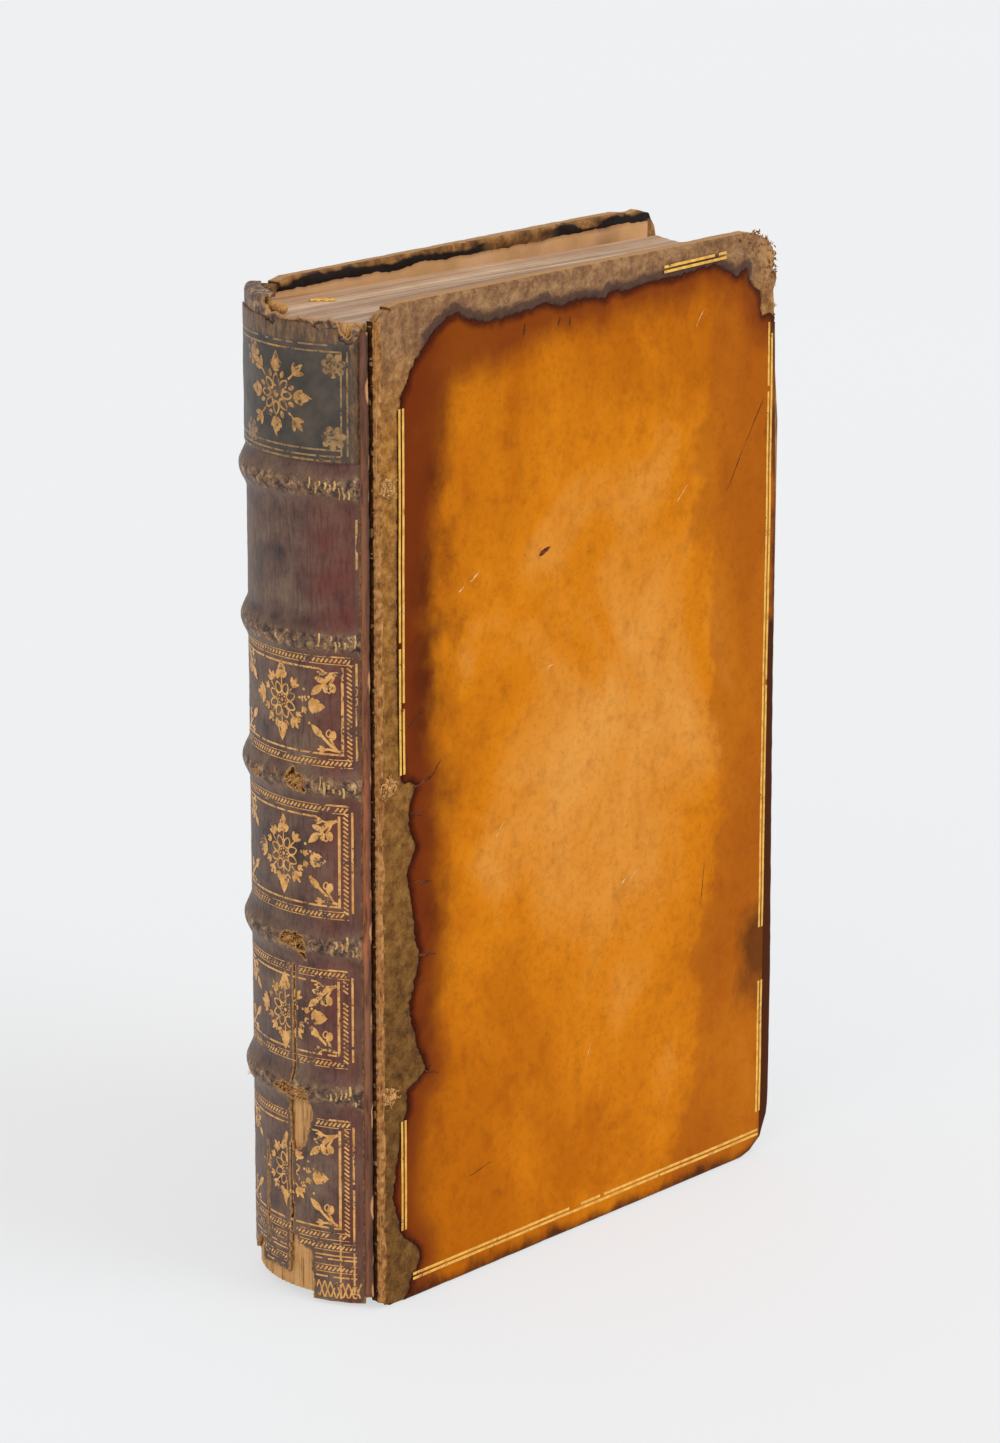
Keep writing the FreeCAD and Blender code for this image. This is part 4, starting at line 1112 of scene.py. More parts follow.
def makeFlakedCalf():
    look = suedeLook
    material, tree, place = startMaterial(
        "flakedCalf", {"Roughness": 0.95, "Specular IOR Level": 0.05, "Sheen Weight": 0.08,
                       "Sheen Roughness": 0.5})
    patch = addNode(tree, "TexNoise", [place, 1000 / look["patch"], 6.0, 0.65])
    fibre = addNode(tree, "TexNoise", [place, 1000 / look["fibre"], 5.0, 0.75, 0.4])
    total = addNode(tree, "Math", [fibre, 0.45, patch], operation="MULTIPLY_ADD")
    tone = addNode(tree, "ValToRGB", [total], stops=[(0.50, look["dark"]), (0.68, look["mid"]),
                                                     (0.90, look["light"])])
    axis = addNode(tree, "SeparateXYZ", [place]).node.outputs
    nearHead = addNode(tree, "MapRange", [axis["Z"], 0.185, 0.193, -3.0, 0.9])
    tear = addNode(tree, "Attribute", attribute_name="tear")
    tearSum = raggedBy(tree, tear, patch, 4.6, -2.3)
    tearHead = addNode(tree, "Math", [tearSum, nearHead], operation="ADD")
    mauveOn = addNode(tree, "MapRange", [tearHead, -1.5, -0.4, 0.0, 0.88], interpolation_type="SMOOTHSTEP")
    # lower down it is darker, and where the board shows through it is pale
    low = addNode(tree, "MapRange", [axis["Z"], 0.055, 0.17, 0.5, 1.15])
    lowTone = addNode(tree, "Mix", [1.0, tone, low], blend_type="MULTIPLY")
    greyOn = addNode(tree, "MapRange", [axis["Z"], 0.176, 0.193, 0.0, 0.75])
    greyTone = addNode(tree, "ValToRGB", [total], stops=[(0.50, "#614532"), (0.68, "#805e45"),
                                                         (0.90, "#a88561")])
    greyed = addNode(tree, "Mix", [greyOn, lowTone, greyTone])
    mauved = addNode(tree, "Mix", [mauveOn, greyed, look["mauve"]])
    bare = addNode(tree, "Attribute", attribute_name="bare")
    bareSum = addNode(tree, "Math", [bare, total], operation="ADD")
    final = tintedWhere(tree, mauved, look["bare"], bareSum, [1.06, 1.36, 0.0, 0.9])
    fineBump = addNode(tree, "Bump", [fibre, 0.7, 0.0002])
    wideBump = addNode(tree, "Bump", [patch, 0.7, 0.0007, fineBump])
    return endMaterial(material, {"Base Color": final, "Normal": wideBump})


# Turned-in calf on the inside: brown and unpolished, with a black strip below the head's edge.
def makeTurnIn():
    material, tree, place = startMaterial("turnedInCalf", {"Roughness": 0.85, "Specular IOR Level": 0.25})
    patch = addNode(tree, "TexNoise", [place, 1000 / 3.5, 6.0, 0.65])
    tone = addNode(tree, "ValToRGB", [patch], stops=[(0.32, "#4a2f1c"), (0.48, "#80582f"),
                                                     (0.62, "#ab7b42")])
    axis = addNode(tree, "SeparateXYZ", [place]).node.outputs
    wander = addNode(tree, "TexNoise", [place, 1000 / 9.0, 4.0])
    height = addNode(tree, "Math", [wander, 0.006, axis["Z"]], operation="MULTIPLY_ADD")
    below = addNode(tree, "MapRange", [height, 0.2017, 0.2023, 1.0, 0.0])
    above = addNode(tree, "MapRange", [height, 0.1992, 0.1998, 0.0, 1.0])
    black = addNode(tree, "Math", [below, above], operation="MULTIPLY")
    run = addNode(tree, "MapRange", [axis["X"], -0.062, 0.066])
    parts = addNode(tree, "ValToRGB", [run], stops=[(0.08, 1.0), (0.56, 1.0), (0.60, 0.0), (0.70, 0.0),
                                                    (0.74, 1.0), (0.93, 1.0)])
    blackParts = addNode(tree, "Math", [black, parts], operation="MULTIPLY")
    final = addNode(tree, "Mix", [blackParts, tone, "#1f1612"])
    bump = addNode(tree, "Bump", [patch, 0.9, 0.0006])
    return endMaterial(material, {"Base Color": final, "Normal": bump})


polishedCalf, flakedCalf, turnedIn = makePolishedCalf(), makeFlakedCalf(), makeTurnIn()


def bodyPoints(points, spacing):
    # Evenly spaced points on a line, for measuring distances from it.
    made = []
    for (xa, ya), (xb, yb) in zip(points, points[1:]):
        count = max(1, round(math.hypot(xb - xa, yb - ya) / spacing))
        made += [(xa + (xb - xa) * k / count, ya + (yb - ya) * k / count) for k in range(count)]
    return made + [points[-1]]


def nearness(points):
    tree = kdtree.KDTree(len(points))
    for index, (x, z) in enumerate(points):
        tree.insert((x, 0, z), index)
    tree.balance()
    return tree


def boardWarp(x, z, seed):
    return 0.16 * waver(x * 0.018, z * 0.018, seed) + 0.05 * noise.noise(
        Vector((x * 0.09, z * 0.09, seed + 3)))


def nextRing(bm, edges):
    made = bmesh.ops.extrude_edge_only(bm, edges=edges)["geom"]
    verts = vertsOf(made)
    fresh = set(verts)
    return verts, [g for g in made if isinstance(g, bmesh.types.BMEdge) and all(v in fresh for v in g.verts)]


def makeCover(look):
    c = covers
    r = c["round"]
    outline = look["outline"]
    width = max(x for x, z in outline)
    rim = [(max(0.0, min(width, x)), max(0.0, min(200.0, z)))
           for x, z in raggedLine(outline, 1.9, look["rimNoise"], look["seed"], True)]
    ways = []
    for before, after in zip(rim[-1:] + rim[:-1], rim[1:] + rim[:1]):
        along = Vector((after[0] - before[0], after[1] - before[1])).normalized()
        way = Vector((along.y, -along.x))
        ways.append(Vector((0, 0)) if way.x < -0.35 else way)
    torn = raggedLine(look["tear"], 0.6, 0.55, look["seed"] + 20.0)
    fore = min(range(len(rim)), key=lambda i: math.hypot(rim[i][0] - torn[0][0], rim[i][1] - torn[0][1]))
    foot = min(range(len(rim)), key=lambda i: math.hypot(rim[i][0] - torn[-1][0], rim[i][1] - torn[-1][1]))
    ends = (rim[fore], rim[foot])
    torn = [p for p in torn[1:-1] if min(math.hypot(p[0] - x, p[1] - z) for x, z in ends) > 1.3]
    bm = bmesh.new()
    wayX, wayZ, onRim = (bm.verts.layers.float.new(name) for name in ("wayX", "wayZ", "onRim"))

    def rimVert(index, y):
        (x, z), way = rim[index], ways[index]
        v = bm.verts.new((x - way.x * r, y, z - way.y * r))
        v[wayX], v[wayZ], v[onRim] = way.x, way.y, 1.0
        return v

    calfY, flakedY = -c["outer"] - c["raised"], -c["outer"]
    calf = [rimVert(i, calfY) for i in range(foot, fore + 1)] + [bm.verts.new((x, calfY, z)) for x, z in torn]
    flaked = [rimVert(i % len(rim), flakedY) for i in range(fore, len(rim) + foot + 1)]
    flaked += [bm.verts.new((x, flakedY, z)) for x, z in torn[::-1]]
    bm.faces.new(calf)
    bm.faces.new(flaked).material_index = 1
    for axis, size in (((1, 0, 0), width), ((0, 0, 1), book["boardHeight"])):
        cutAcross(bm, [step * c["cell"] - 0.41 for step in range(1, int(size / c["cell"]) + 1)], axis)
    # the torn edge of the calf gets its thickness
    tornEdges = [e for e in bm.edges if e.is_boundary and e.link_faces[0].material_index == 0
                 and not all(v[onRim] > 0.999 for v in e.verts)]
    made = bmesh.ops.extrude_edge_only(bm, edges=tornEdges)["geom"]
    bmesh.ops.translate(bm, vec=(0, c["raised"] + 0.1, 0), verts=vertsOf(made))
    # round the board's edges and in under the inner face
    edges = [e for e in bm.edges if e.is_boundary and abs(e.verts[0].co.y - e.verts[1].co.y) < 0.01
             and all(v[onRim] > 0.999 and abs(v[wayX]) + abs(v[wayZ]) > 0.5 for v in e.verts)]
    steps = [(r * math.sin(math.radians(a)) - r, r * (1 - math.cos(math.radians(a))), None)
             for a in (22, 45, 67, 90)]
    steps += [(0, 0, -c["inner"] - 1.6), (0, 0, -c["inner"] - 0.5), (-0.16, 0, -c["inner"] - 0.14),
              (-0.5, 0, -c["inner"])]
    offNow, deepNow = -r, 0.0
    for off, deep, fixed in steps:
        verts, edges = nextRing(bm, edges)
        for v in verts:
            v.co.x += v[wayX] * (off - offNow)
            v.co.z += v[wayZ] * (off - offNow)
            v.co.y = fixed if fixed is not None else v.co.y + deep - deepNow
        offNow, deepNow = off, deep
    for depth in (0.1, 0.2, 0.28, 0.35, 1.0):
        verts, edges = nextRing(bm, edges)
        reach = c["turnIn"] * depth
        for v in verts:
            v.co.x = min(v.co.x, width - reach)
            v.co.z = min(max(v.co.z, reach), 200 - reach)
    bmesh.ops.remove_doubles(bm, verts=verts, dist=0.02)
    # faces turned outwards, part by part
    bmesh.ops.recalc_face_normals(bm, faces=bm.faces)
    seen = set()
    for first in bm.faces[:]:
        if first in seen:
            continue
        seen.add(first)
        part = [first]
        for face in part:
            for other in [f for e in face.edges for f in e.link_faces]:
                if other not in seen:
                    seen.add(other)
                    part.append(other)
        if sum(f.normal.y for f in part if f.calc_center_median().y < 0.1 - c["outer"]) > 0:
            bmesh.ops.reverse_faces(bm, faces=part)
    # distances from the tear and from the handled edges, for the materials
    tearTree = nearness(bodyPoints(torn, 0.25))
    edgeNear = nearness([p for p, way in zip(rim, ways) if way.length > 0.5])
    tearLayer = bm.verts.layers.float.new("tear")
    marginLayer = bm.verts.layers.float.new("margin")
    bareLayer = bm.verts.layers.float.new("bare")
    bm.normal_update()
    for v in bm.verts:
        flat = Vector((v.co.x, 0, v.co.z))
        onCalf = v.link_faces[0].material_index == 0
        gap = tearTree.find(flat)[2]
        v[tearLayer] = gap if onCalf else -gap
        v[marginLayer] = edgeNear.find(flat)[2] + (6.0 if not onCalf else 0.0)
        # the board's own edge shows along the joint, at the head's edge and at the head corner
        v[bareLayer] = max(0.0, 1.0 - v.co.x / 1.9, 0.8 if v.co.y > -17.9 else 0.0,
                           0.9 - math.hypot(v.co.x - width + 3, v.co.z - 195) / 9)
        if look["rear"] and v.co.z > 197.8 and v.co.y > -c["inner"] - 1.7:
            fold = waver(v.co.x * 0.2, v.co.z * 0.3, 1) + 0.5 * waver(v.co.x * 0.7, 3, 2)
            v.co.y += 0.8 * max(0.0, fold + 0.4)
        if v.co.y < -c["inner"] - 0.3:
            v.co.y += boardWarp(v.co.x, v.co.z, look["seed"])
            if onCalf:
                v.co.y += 0.16 * math.exp(-gap / 0.9)
            else:
                lumps = waver(v.co.x * 0.35, v.co.z * 0.35, 4) + 0.5 * noise.noise(
                    Vector((v.co.x * 1.1, v.co.z * 1.1, 8)))
                v.co.y += 0.13 * lumps - 0.10 * max(0.0, math.exp(-v[marginLayer] + 6.0))
                v.co.z -= 0.12 * abs(waver(v.co.x * 0.6, v.co.y, 2)) if v.co.z > 198.5 else 0.0
    for face in bm.faces:
        if face.calc_center_median().y > -c["inner"] - 0.3:
            face.material_index = 2
    bmesh.ops.translate(bm, vec=(look["startX"], 0, 0), verts=bm.verts)
    if look["rear"]:
        bmesh.ops.scale(bm, vec=(1, -1, 1), verts=bm.verts)
        bmesh.ops.reverse_faces(bm, faces=bm.faces)
    finishPiece(bm, look["name"], [polishedCalf, flakedCalf, turnedIn], look["body"],
                [look["node"]], thickness=c["thickness"])


frontLook = {"name": "front_calf", "node": "front_cover_leather", "body": "front_cover", "rear": False,
             "outline": frontOutline, "startX": book["boardX"], "seed": 1.0, "rimNoise": 0.16,
             "tear": [(117.6, 181.0), (115.2, 182.6)] + headTear[::-1] + spineTear + [(7.2, 0.0)]}
rearLook = {"name": "rear_calf", "node": "rear_cover_leather", "body": "rear_cover", "rear": True,
            "outline": rearOutline, "startX": book["rearX"], "seed": 5.0, "rimNoise": 0.16,
            "tear": [(117.0, 190.0)] + rearHeadTear[::-1] + rearSpineTear + [(2.4, 0.0)]}
makeCover(frontLook)
makeCover(rearLook)
print("covers made")


# Gilt double rules round the front board, broken where the grain has gone
ruleLook = {"width": 0.58, "gap": 0.98,
            "runs": [((6.35, 38.0), (6.35, 15.2), 3), ((6.35, 180.0), (6.35, 108.5), 1),
                     ((82.0, 195.9), (101.2, 196.3), 5), ((115.7, 180.6), (115.9, 51.0), 7),
                     ((116.0, 39.0), (116.0, 9.4), 9), ((116.2, 4.7), (8.8, 4.6), 11)]}
ruleGold = makeGoldLeaf("brightRuleGold", "#f4c056", "#dba03c", "#6e4a22", 0.9)


def makeFrontRules():
    bm = bmesh.new()
    for (xa, za), (xb, zb), seed in ruleLook["runs"]:
        upright = abs(xb - xa) < abs(zb - za)
        for side in (-0.5, 0.5):
            shift = side * ruleLook["gap"]
            dx, dz = (shift, 0) if upright else (0, shift)
            brokenLine(bm, (xa + dx, za + dz), (xb + dx, zb + dz), ruleLook["width"], seed + side, 1.12)
    for axis, size in (((1, 0, 0), book["boardWidth"]), ((0, 1, 0), book["boardHeight"])):
        cutAcross(bm, [step * 2 - 0.77 for step in range(1, int(size / 2) + 1)], axis)
    for v in bm.verts:
        x, z = v.co.x, v.co.y
        sway = 0.10 * waver(x * 0.07, z * 0.07, 2.0)
        y = -covers["outer"] - covers["raised"] - 0.035 + boardWarp(x, z, frontLook["seed"])
        v.co = Vector((book["boardX"] + x + sway, y, z + sway))
    bmesh.ops.recalc_face_normals(bm, faces=bm.faces)
    bmesh.ops.reverse_faces(bm, faces=[f for f in bm.faces if f.normal.y > 0])
    finishPiece(bm, "front_rules", [ruleGold], "front_cover", ["front_gilt_rules"])


makeFrontRules()
print("front rules made")


# Torn joint: what is left of the spine leather over the front hinge, worn red-brown with pale torn fibres,
# and with painted shade along both long edges.
jointLook = {"foot": 2.8, "head": 195.3, "startDeg": 38.4, "endY": -17.4, "thickness": 0.45,
             "pale": "#c68f60"}


def makeJointMaterial():
    material, tree, place = startMaterial("rubbedJointCalf", {"Roughness": 0.62, "Specular IOR Level": 0.35})
    tall = addNode(tree, "Mapping", [place, (1.0, 1.0, 0.12)])
    streak = addNode(tree, "TexNoise", [tall, 1000 / 1.0, 6.0, 0.7])
    axis = addNode(tree, "SeparateXYZ", [place]).node.outputs
    height = addNode(tree, "MapRange", [axis["Z"], 0.0, 0.2])
    along = addNode(tree, "ValToRGB", [height], stops=[(0.02, "#8a5536"), (0.16, "#7c4a33"),
                                                       (0.3, "#9a6341"), (0.42, "#ab6238"),
                                                       (0.7, "#955d3b"), (0.97, "#7a4f3b")])
    mixed = shadedBy(tree, along, streak, 0.9, [(0.34, "#8a7060"), (0.55, "#ffffff"), (0.75, "#ffffff")])
    torn = addNode(tree, "Attribute", attribute_name="torn")
    part = addNode(tree, "Math", [torn, streak], operation="MULTIPLY")
    tornOn = addNode(tree, "ValToRGB", [part], stops=[(0.26, 0.0), (0.42, 1.0)])
    # painted shade: the strip is darkened along both its long edges, so that it looks rounded
    shade = addNode(tree, "Attribute", attribute_name="shade")
    shaded = addNode(tree, "Mix", [shade, mixed, "#3a1e12"])
    final = addNode(tree, "Mix", [tornOn, shaded, jointLook["pale"]])
    bump = addNode(tree, "Bump", [streak, 0.8, 0.0003])
    return endMaterial(material, {"Base Color": final, "Normal": bump})


def makeJointStrip():
    j = jointLook
    tall = j["head"] - j["foot"]
    bm = bmesh.new()
    bmesh.ops.create_grid(bm, x_segments=10, y_segments=round(tall / 0.5), size=1.0)
    tornLayer = bm.verts.layers.float.new("torn")
    shadeLayer = bm.verts.layers.float.new("shade")
    for v in bm.verts:
        across = (v.co.x + 1) / 2
        # painted shade, strongest at the two long edges of the strip
        v[shadeLayer] = 0.95 * (1 - math.sin(math.pi * (0.05 + 0.9 * across)) ** 1.1)
        z = j["foot"] + (v.co.y + 1) / 2 * tall
        start = onSpine(arcOf(j["startDeg"]), z, -0.05)
        ragged = 0.5 * waver(z * 0.22, 1.0, 0) + 0.28 * waver(z * 0.9, 5.0, 0)
        end = Vector((-57.0 + 0.32 * waver(z * 0.05, 9.0, 0), j["endY"] + 0.25 - 0.5 * abs(ragged), z))
        spot = start.lerp(end, across)
        puff = 0.5 * math.sin(math.pi * across) + 0.16 * waver(across * 2, z * 0.5, 3)
        puff -= 0.35 * math.exp(-(across / 0.12) ** 2)
        v.co = spot + Vector((-puff, 0, 0))
        v[tornLayer] = (max(0.0, (across - 0.7) / 0.3) * max(0.0, 0.4 + 1.6 * waver(z * 0.16, 4, 7))
                       + 0.25 * max(0.0, waver(z * 0.3, across, 7)))
    faceTowards(bm, (-1, 0, 0))
    finishPiece(bm, "torn_joint", [makeJointMaterial()], "text_block", thickness=j["thickness"])


makeJointStrip()
print("joint strip made")


# Laced-in cord ends on the front board: a flattened tuft with frayed fibres.
def makeCordSlip(name, z, seed):
    rng = random.Random(seed)
    bm = bmesh.new()
    lump = bmesh.ops.create_icosphere(bm, subdivisions=4, radius=1.0)["verts"]
    for v in lump:
        lumps = noise.noise(v.co * 1.6 + Vector((seed, 0, 0))) * 0.35
        wave = 1 + (lumps + noise.noise(v.co * 4.5 + Vector((0, seed, 0))) * 0.2)
        v.co = Vector((book["boardX"] + 2.5 + v.co.x * 2.0 * wave, -18.45 + v.co.y * 0.8 * wave,
                       z + v.co.z * 1.6 * wave))
    for k in range(30):
        x, y = rng.uniform(0.8, 3.8), -18.75 - rng.uniform(0.1, 0.55)
        way = rng.uniform(0, 2 * math.pi)
        reach = rng.uniform(1.0, 2.4)
        lift = rng.uniform(-1.3, 1.3)
        points = []
        for step in range(5):
            a = way + step * 0.35 * rng.uniform(-1, 1)
            points.append(Vector((book["boardX"] + min(5.4, max(0.1, x + math.cos(a) * reach * step / 4)),
                                  max(-19.45, y + 0.3 * (step / 4) ** 2 * rng.uniform(-1, 1)),
                                  z + lift + math.sin(a) * reach * step / 4)))
        tubeAlong(bm, points, rng.uniform(0.1, 0.24), 5, 0.85)
    bmesh.ops.recalc_face_normals(bm, faces=bm.faces)
    finishPiece(bm, name, [hempCord], "front_cover", [name.replace("tuft", "cord_slip")])


for number, index in ((1, 4), (3, 2), (5, 0)):
    makeCordSlip("front_tuft_%d" % number, book["bands"][index], number * 7)


# Endband: a stump of the core at the head, wound with thread.
endband = {"radius": 21.6, "z": 197.65, "core": 0.78, "wound": 0.88, "thread": 0.17, "turns": 31,
           "perTurn": 9}


def makeEndband():
    e = endband
    bm = bmesh.new()
    core = []
    for step in range(39):
        a = math.radians(-42 + step)
        core.append(Vector((book["spineX"] - e["radius"] * math.cos(a), -e["radius"] * math.sin(a), e["z"])))
    tubeAlong(bm, core, e["core"], 10)
    thread = []
    steps = e["turns"] * e["perTurn"]
    for step in range(steps):
        a = math.radians(-41.5 + 37 * step / steps)
        wind = 2 * math.pi * step / e["perTurn"]
        r = e["radius"] + e["wound"] * math.cos(wind)
        thread.append(Vector((book["spineX"] - r * math.cos(a), -r * math.sin(a),
                              e["z"] + e["wound"] * math.sin(wind))))
    tubeAlong(bm, thread, e["thread"], 5)
    bmesh.ops.recalc_face_normals(bm, faces=bm.faces)
    finishPiece(bm, "endband_stump", [hempCord], "text_block", ["endband_core"])


makeEndband()
print("cord ends and endband made")


# Pasteboard: layers of waste paper pasted together, seen on edge where the leather has gone.
def makePasteboard():
    material, tree, place = startMaterial("layeredPasteboard", {"Roughness": 0.9, "Specular IOR Level": 0.2})
    layered = addNode(tree, "Mapping", [place, (0.12, 1.0, 0.03)])
    layer = addNode(tree, "TexNoise", [layered, 1000 / 0.5, 4.0, 0.6])
    patch = addNode(tree, "TexNoise", [place, 1000 / 6.0, 5.0])
    both = addNode(tree, "Math", [patch, 0.6, layer], operation="MULTIPLY_ADD")
    tone = addNode(tree, "ValToRGB", [both], stops=[(0.58, "#4d3521"), (0.78, "#8f683f"),
                                                    (0.98, "#b48a58")])
    bump = addNode(tree, "Bump", [both, 0.8, 0.0003])
    return endMaterial(material, {"Base Color": tone, "Normal": bump})


# Pastedowns: laid rag paper, tan with age, with faint chain lines 25 mm apart.
def makeLaidPaper():
    material, tree, place = startMaterial("agedLaidPaper", {"Roughness": 0.85, "Specular IOR Level": 0.25})
    stain = addNode(tree, "TexNoise", [place, 1000 / 16.0, 6.0, 0.6])
    tone = addNode(tree, "ValToRGB", [stain], stops=[(0.30, "#c39560"), (0.52, "#d6a572"),
                                                     (0.74, "#dfb68b")])
    chain = addNode(tree, "TexWave", {"Vector": place, "Scale": 1000 / 25.0 / 3.2, "Distortion": 0.6,
                                      "Detail": 2.0}, bands_direction="X")
    chainTone = addNode(tree, "ValToRGB", [chain.node.outputs["Fac"]], stops=[(0.02, 0.88), (0.12, 1.0)])
    mixed = addNode(tree, "Mix", [0.7, tone, chainTone], blend_type="MULTIPLY")
    fox = addNode(tree, "TexNoise", [place, 1000 / 4.0, 2.0])
    foxed = tintedWhere(tree, mixed, "#a06c38", fox, stops=[(0.66, 0.0), (0.74, 0.5)])
    mark = addNode(tree, "Attribute", attribute_name="stain")
    markPart = addNode(tree, "Math", [mark, stain], operation="MULTIPLY")
    marked = tintedWhere(tree, foxed, "#6d4523", markPart, stops=[(0.12, 0.0), (0.5, 0.9)])
    fibre = addNode(tree, "TexNoise", [place, 1000 / 0.6, 4.0])
    bump = addNode(tree, "Bump", [fibre, 0.3, 0.0001])
    return endMaterial(material, {"Base Color": marked, "Normal": bump})


pasteboard, laidPaper = makePasteboard(), makeLaidPaper()
bpy.data.objects["gathered_leaves"].data.materials.append(laidPaper)      # the outermost leaves


def makePastedown(name, node, startX, width, side, body, seed):
    # Thin paper over the turned-in leather: its step shows through, and the head edge is torn.
    low, high = (1.4, 3.0), (width - 3.2, 197.4)
    bm = bmesh.new()
    bmesh.ops.create_grid(bm, x_segments=110, y_segments=190, size=1.0)
    stainLayer = bm.verts.layers.float.new("stain")
    for v in bm.verts:
        x = low[0] + (v.co.x + 1) / 2 * (high[0] - low[0])
        top = high[1] + 0.7 * waver(x * 0.12, seed, 0) + 0.3 * waver(x * 0.6, seed, 3)
        z = low[1] + (v.co.y + 1) / 2 * (top - low[1])
        ledge = min(x + 20, width - x, z, 200 - z)
        step = 0.09 / (1 + math.exp((ledge - 9) * 2.2))
        crease = math.exp(-((x - 101) / 5) ** 2 - ((z - 193) / 4) ** 2) if side > 0 else 0.0
        fold = crease * 0.16 * math.sin(x * 2.1 + z * 1.3)
        v[stainLayer] = crease * 0.6 + max(0.0, 1 - (top - z) / 0.9) * 0.5 + 0.15 * max(0.0, 1 - ledge / 14)
        v.co = Vector((startX + x, side * (book["innerFace"] - 0.05 - step - abs(fold)), z))
    faceTowards(bm, (0, -side, 0))
    finishPiece(bm, name, [laidPaper], body, [node])


makePastedown("front_paper", "front_pastedown", book["boardX"], book["boardWidth"], -1, "front_cover", 3.0)
makePastedown("rear_paper", "rear_pastedown", book["rearX"], book["rearWidth"], 1, "rear_cover", 6.0)


# Torn fibres of the calf, tan and matt
def makeTornFibre(name, dark, mid, light):
    return makeFibrous(name, 0.95, 0.1, {"Scale": 1000 / 1.2, "Detail": 4.0},
                       [(0.32, dark), (0.5, mid), (0.7, light)], 0.5, 0.0001)


tornFibre = makeTornFibre("tornCalfFibre", "#6d4526", "#a06c39", "#c18e57")
paleFibre = makeTornFibre("paleTornFibre", "#8f6033", "#cf9a5e", "#edc48c")
# near black, for the painted shade in the crack between the joint strip and the front board
crackShadeEdge = makeTornFibre("paintedCrackShade", "#24140a", "#3f2410", "#5a371b")
# middle of each tuft, how far it spreads and how many fibres it has
fibreLook = {"corner": [((117.0, 190.0), 3.2, 50), ((115.6, 194.5), 3.4, 110), ((111.5, 198.0), 3.4, 80),
                        ((116.6, 183.0), 1.6, 26), ((107.0, 199.4), 2.8, 30)],
             "breaks": [(7.5, 107.2, 1.1, 44), (5.5, 75.0, 1.3, 44), (3.5, 43.8, 1.8, 52),
                        (-18.0, 107.0, 0.5, 14), (-31.0, 43.9, 0.6, 14), (33.0, 194.6, 1.3, 12),
                        (38.0, 195.6, 1.0, 8)]}


def makeFibre(bm, start, way, reach, thick, rng, bend):
    points = []
    for k in range(5):
        stray = Vector((rng.uniform(-1, 1), rng.uniform(-1, 1), rng.uniform(-1, 1)))
        points.append(start + way * reach * k / 4 + Vector((0, 0, bend * (k / 4) ** 2)) + stray * 0.06 * k)
    tubeAlong(bm, points, thick, 4, 0.8)


def makeCornerFibres():
    rng = random.Random(5)
    bm = bmesh.new()
    for (x, z), spread, count in fibreLook["corner"]:
        for k in range(count):
            px, pz = x + rng.gauss(0, spread * 0.45), z + rng.gauss(0, spread * 0.45)
            px = min(px, 117.4 if pz < 196 else 116.6 - (pz - 196) * 1.2)
            pz = min(pz, 199.6)
            start = Vector((book["boardX"] + px, -18.3 + rng.uniform(-0.15, 0.5), pz))
            a = rng.uniform(-2.0, 2.6)
            way = Vector((math.cos(a), rng.uniform(-0.45, 0.02), math.sin(a))).normalized()
            makeFibre(bm, start, way, rng.uniform(0.3, 0.65), rng.uniform(0.1, 0.2), rng,
                      rng.uniform(-0.2, 0.2))
    bmesh.ops.recalc_face_normals(bm, faces=bm.faces)
    finishPiece(bm, "corner_fibres", [tornFibre], "front_cover")


def makeBreakFibres():
    rng = random.Random(8)
    bm = bmesh.new()
    for deg, z, spread, count in fibreLook["breaks"]:
        for k in range(count):
            u = arcOf(deg) + rng.gauss(0, spread)
            start = onSpine(u, z + rng.uniform(-1.0, 0.8), -0.9)
            out = onSpine(u, z, 1.0) - onSpine(u, z)
            stray = Vector((rng.uniform(-0.7, 0.7), rng.uniform(-0.7, 0.7), rng.uniform(-0.9, 0.4)))
            way = (out * 0.8 + stray).normalized()
            makeFibre(bm, start, way, rng.uniform(0.9, 1.6), rng.uniform(0.09, 0.17), rng,
                      rng.uniform(-0.5, 0.1))
    bmesh.ops.recalc_face_normals(bm, faces=bm.faces)
    finishPiece(bm, "spine_fibres", [paleFibre], "text_block")


def makeBoardEdge():
    # The front board's own edge along the joint, torn where the leather pulled away; the part nearest the
    # spine is painted near black, as shade in the crack beside the joint strip.
    bm = bmesh.new()
    bmesh.ops.create_grid(bm, x_segments=12, y_segments=420, size=1.0)
    for v in bm.verts:
        across = (v.co.x + 1) / 2
        z = 1.6 + (v.co.y + 1) / 2 * 195.6
        reach = 1.3 + 0.9 * waver(z * 0.14, 2.0, 0)
        rough = 0.32 * waver(z * 0.7, across * 3.0, 1) + 0.2 * waver(z * 2.2, across * 5, 4)
        if across < 0.45:
            a = across / 0.45
            spot = Vector((book["boardX"] - 0.12 - rough * 0.9, -16.1 - 2.1 * a, z))
        else:
            a = (across - 0.45) / 0.55
            spot = Vector((book["boardX"] + 0.15 + reach * a, -18.5 - (0.28 + rough) * (1 - a) + 0.12 * a, z))
        v.co = spot
    faceTowards(bm, (0, -1, 0))
    for face in bm.faces:
        # painted shade: the faces nearest the spine are near black, standing in for the crack beside the
        # joint strip
        face.material_index = 1 if face.calc_center_median().y > -17.7 else 0
    finishPiece(bm, "torn_board_edge", [tornFibre, crackShadeEdge], "front_cover")


makeCornerFibres()
makeBreakFibres()
makeBoardEdge()


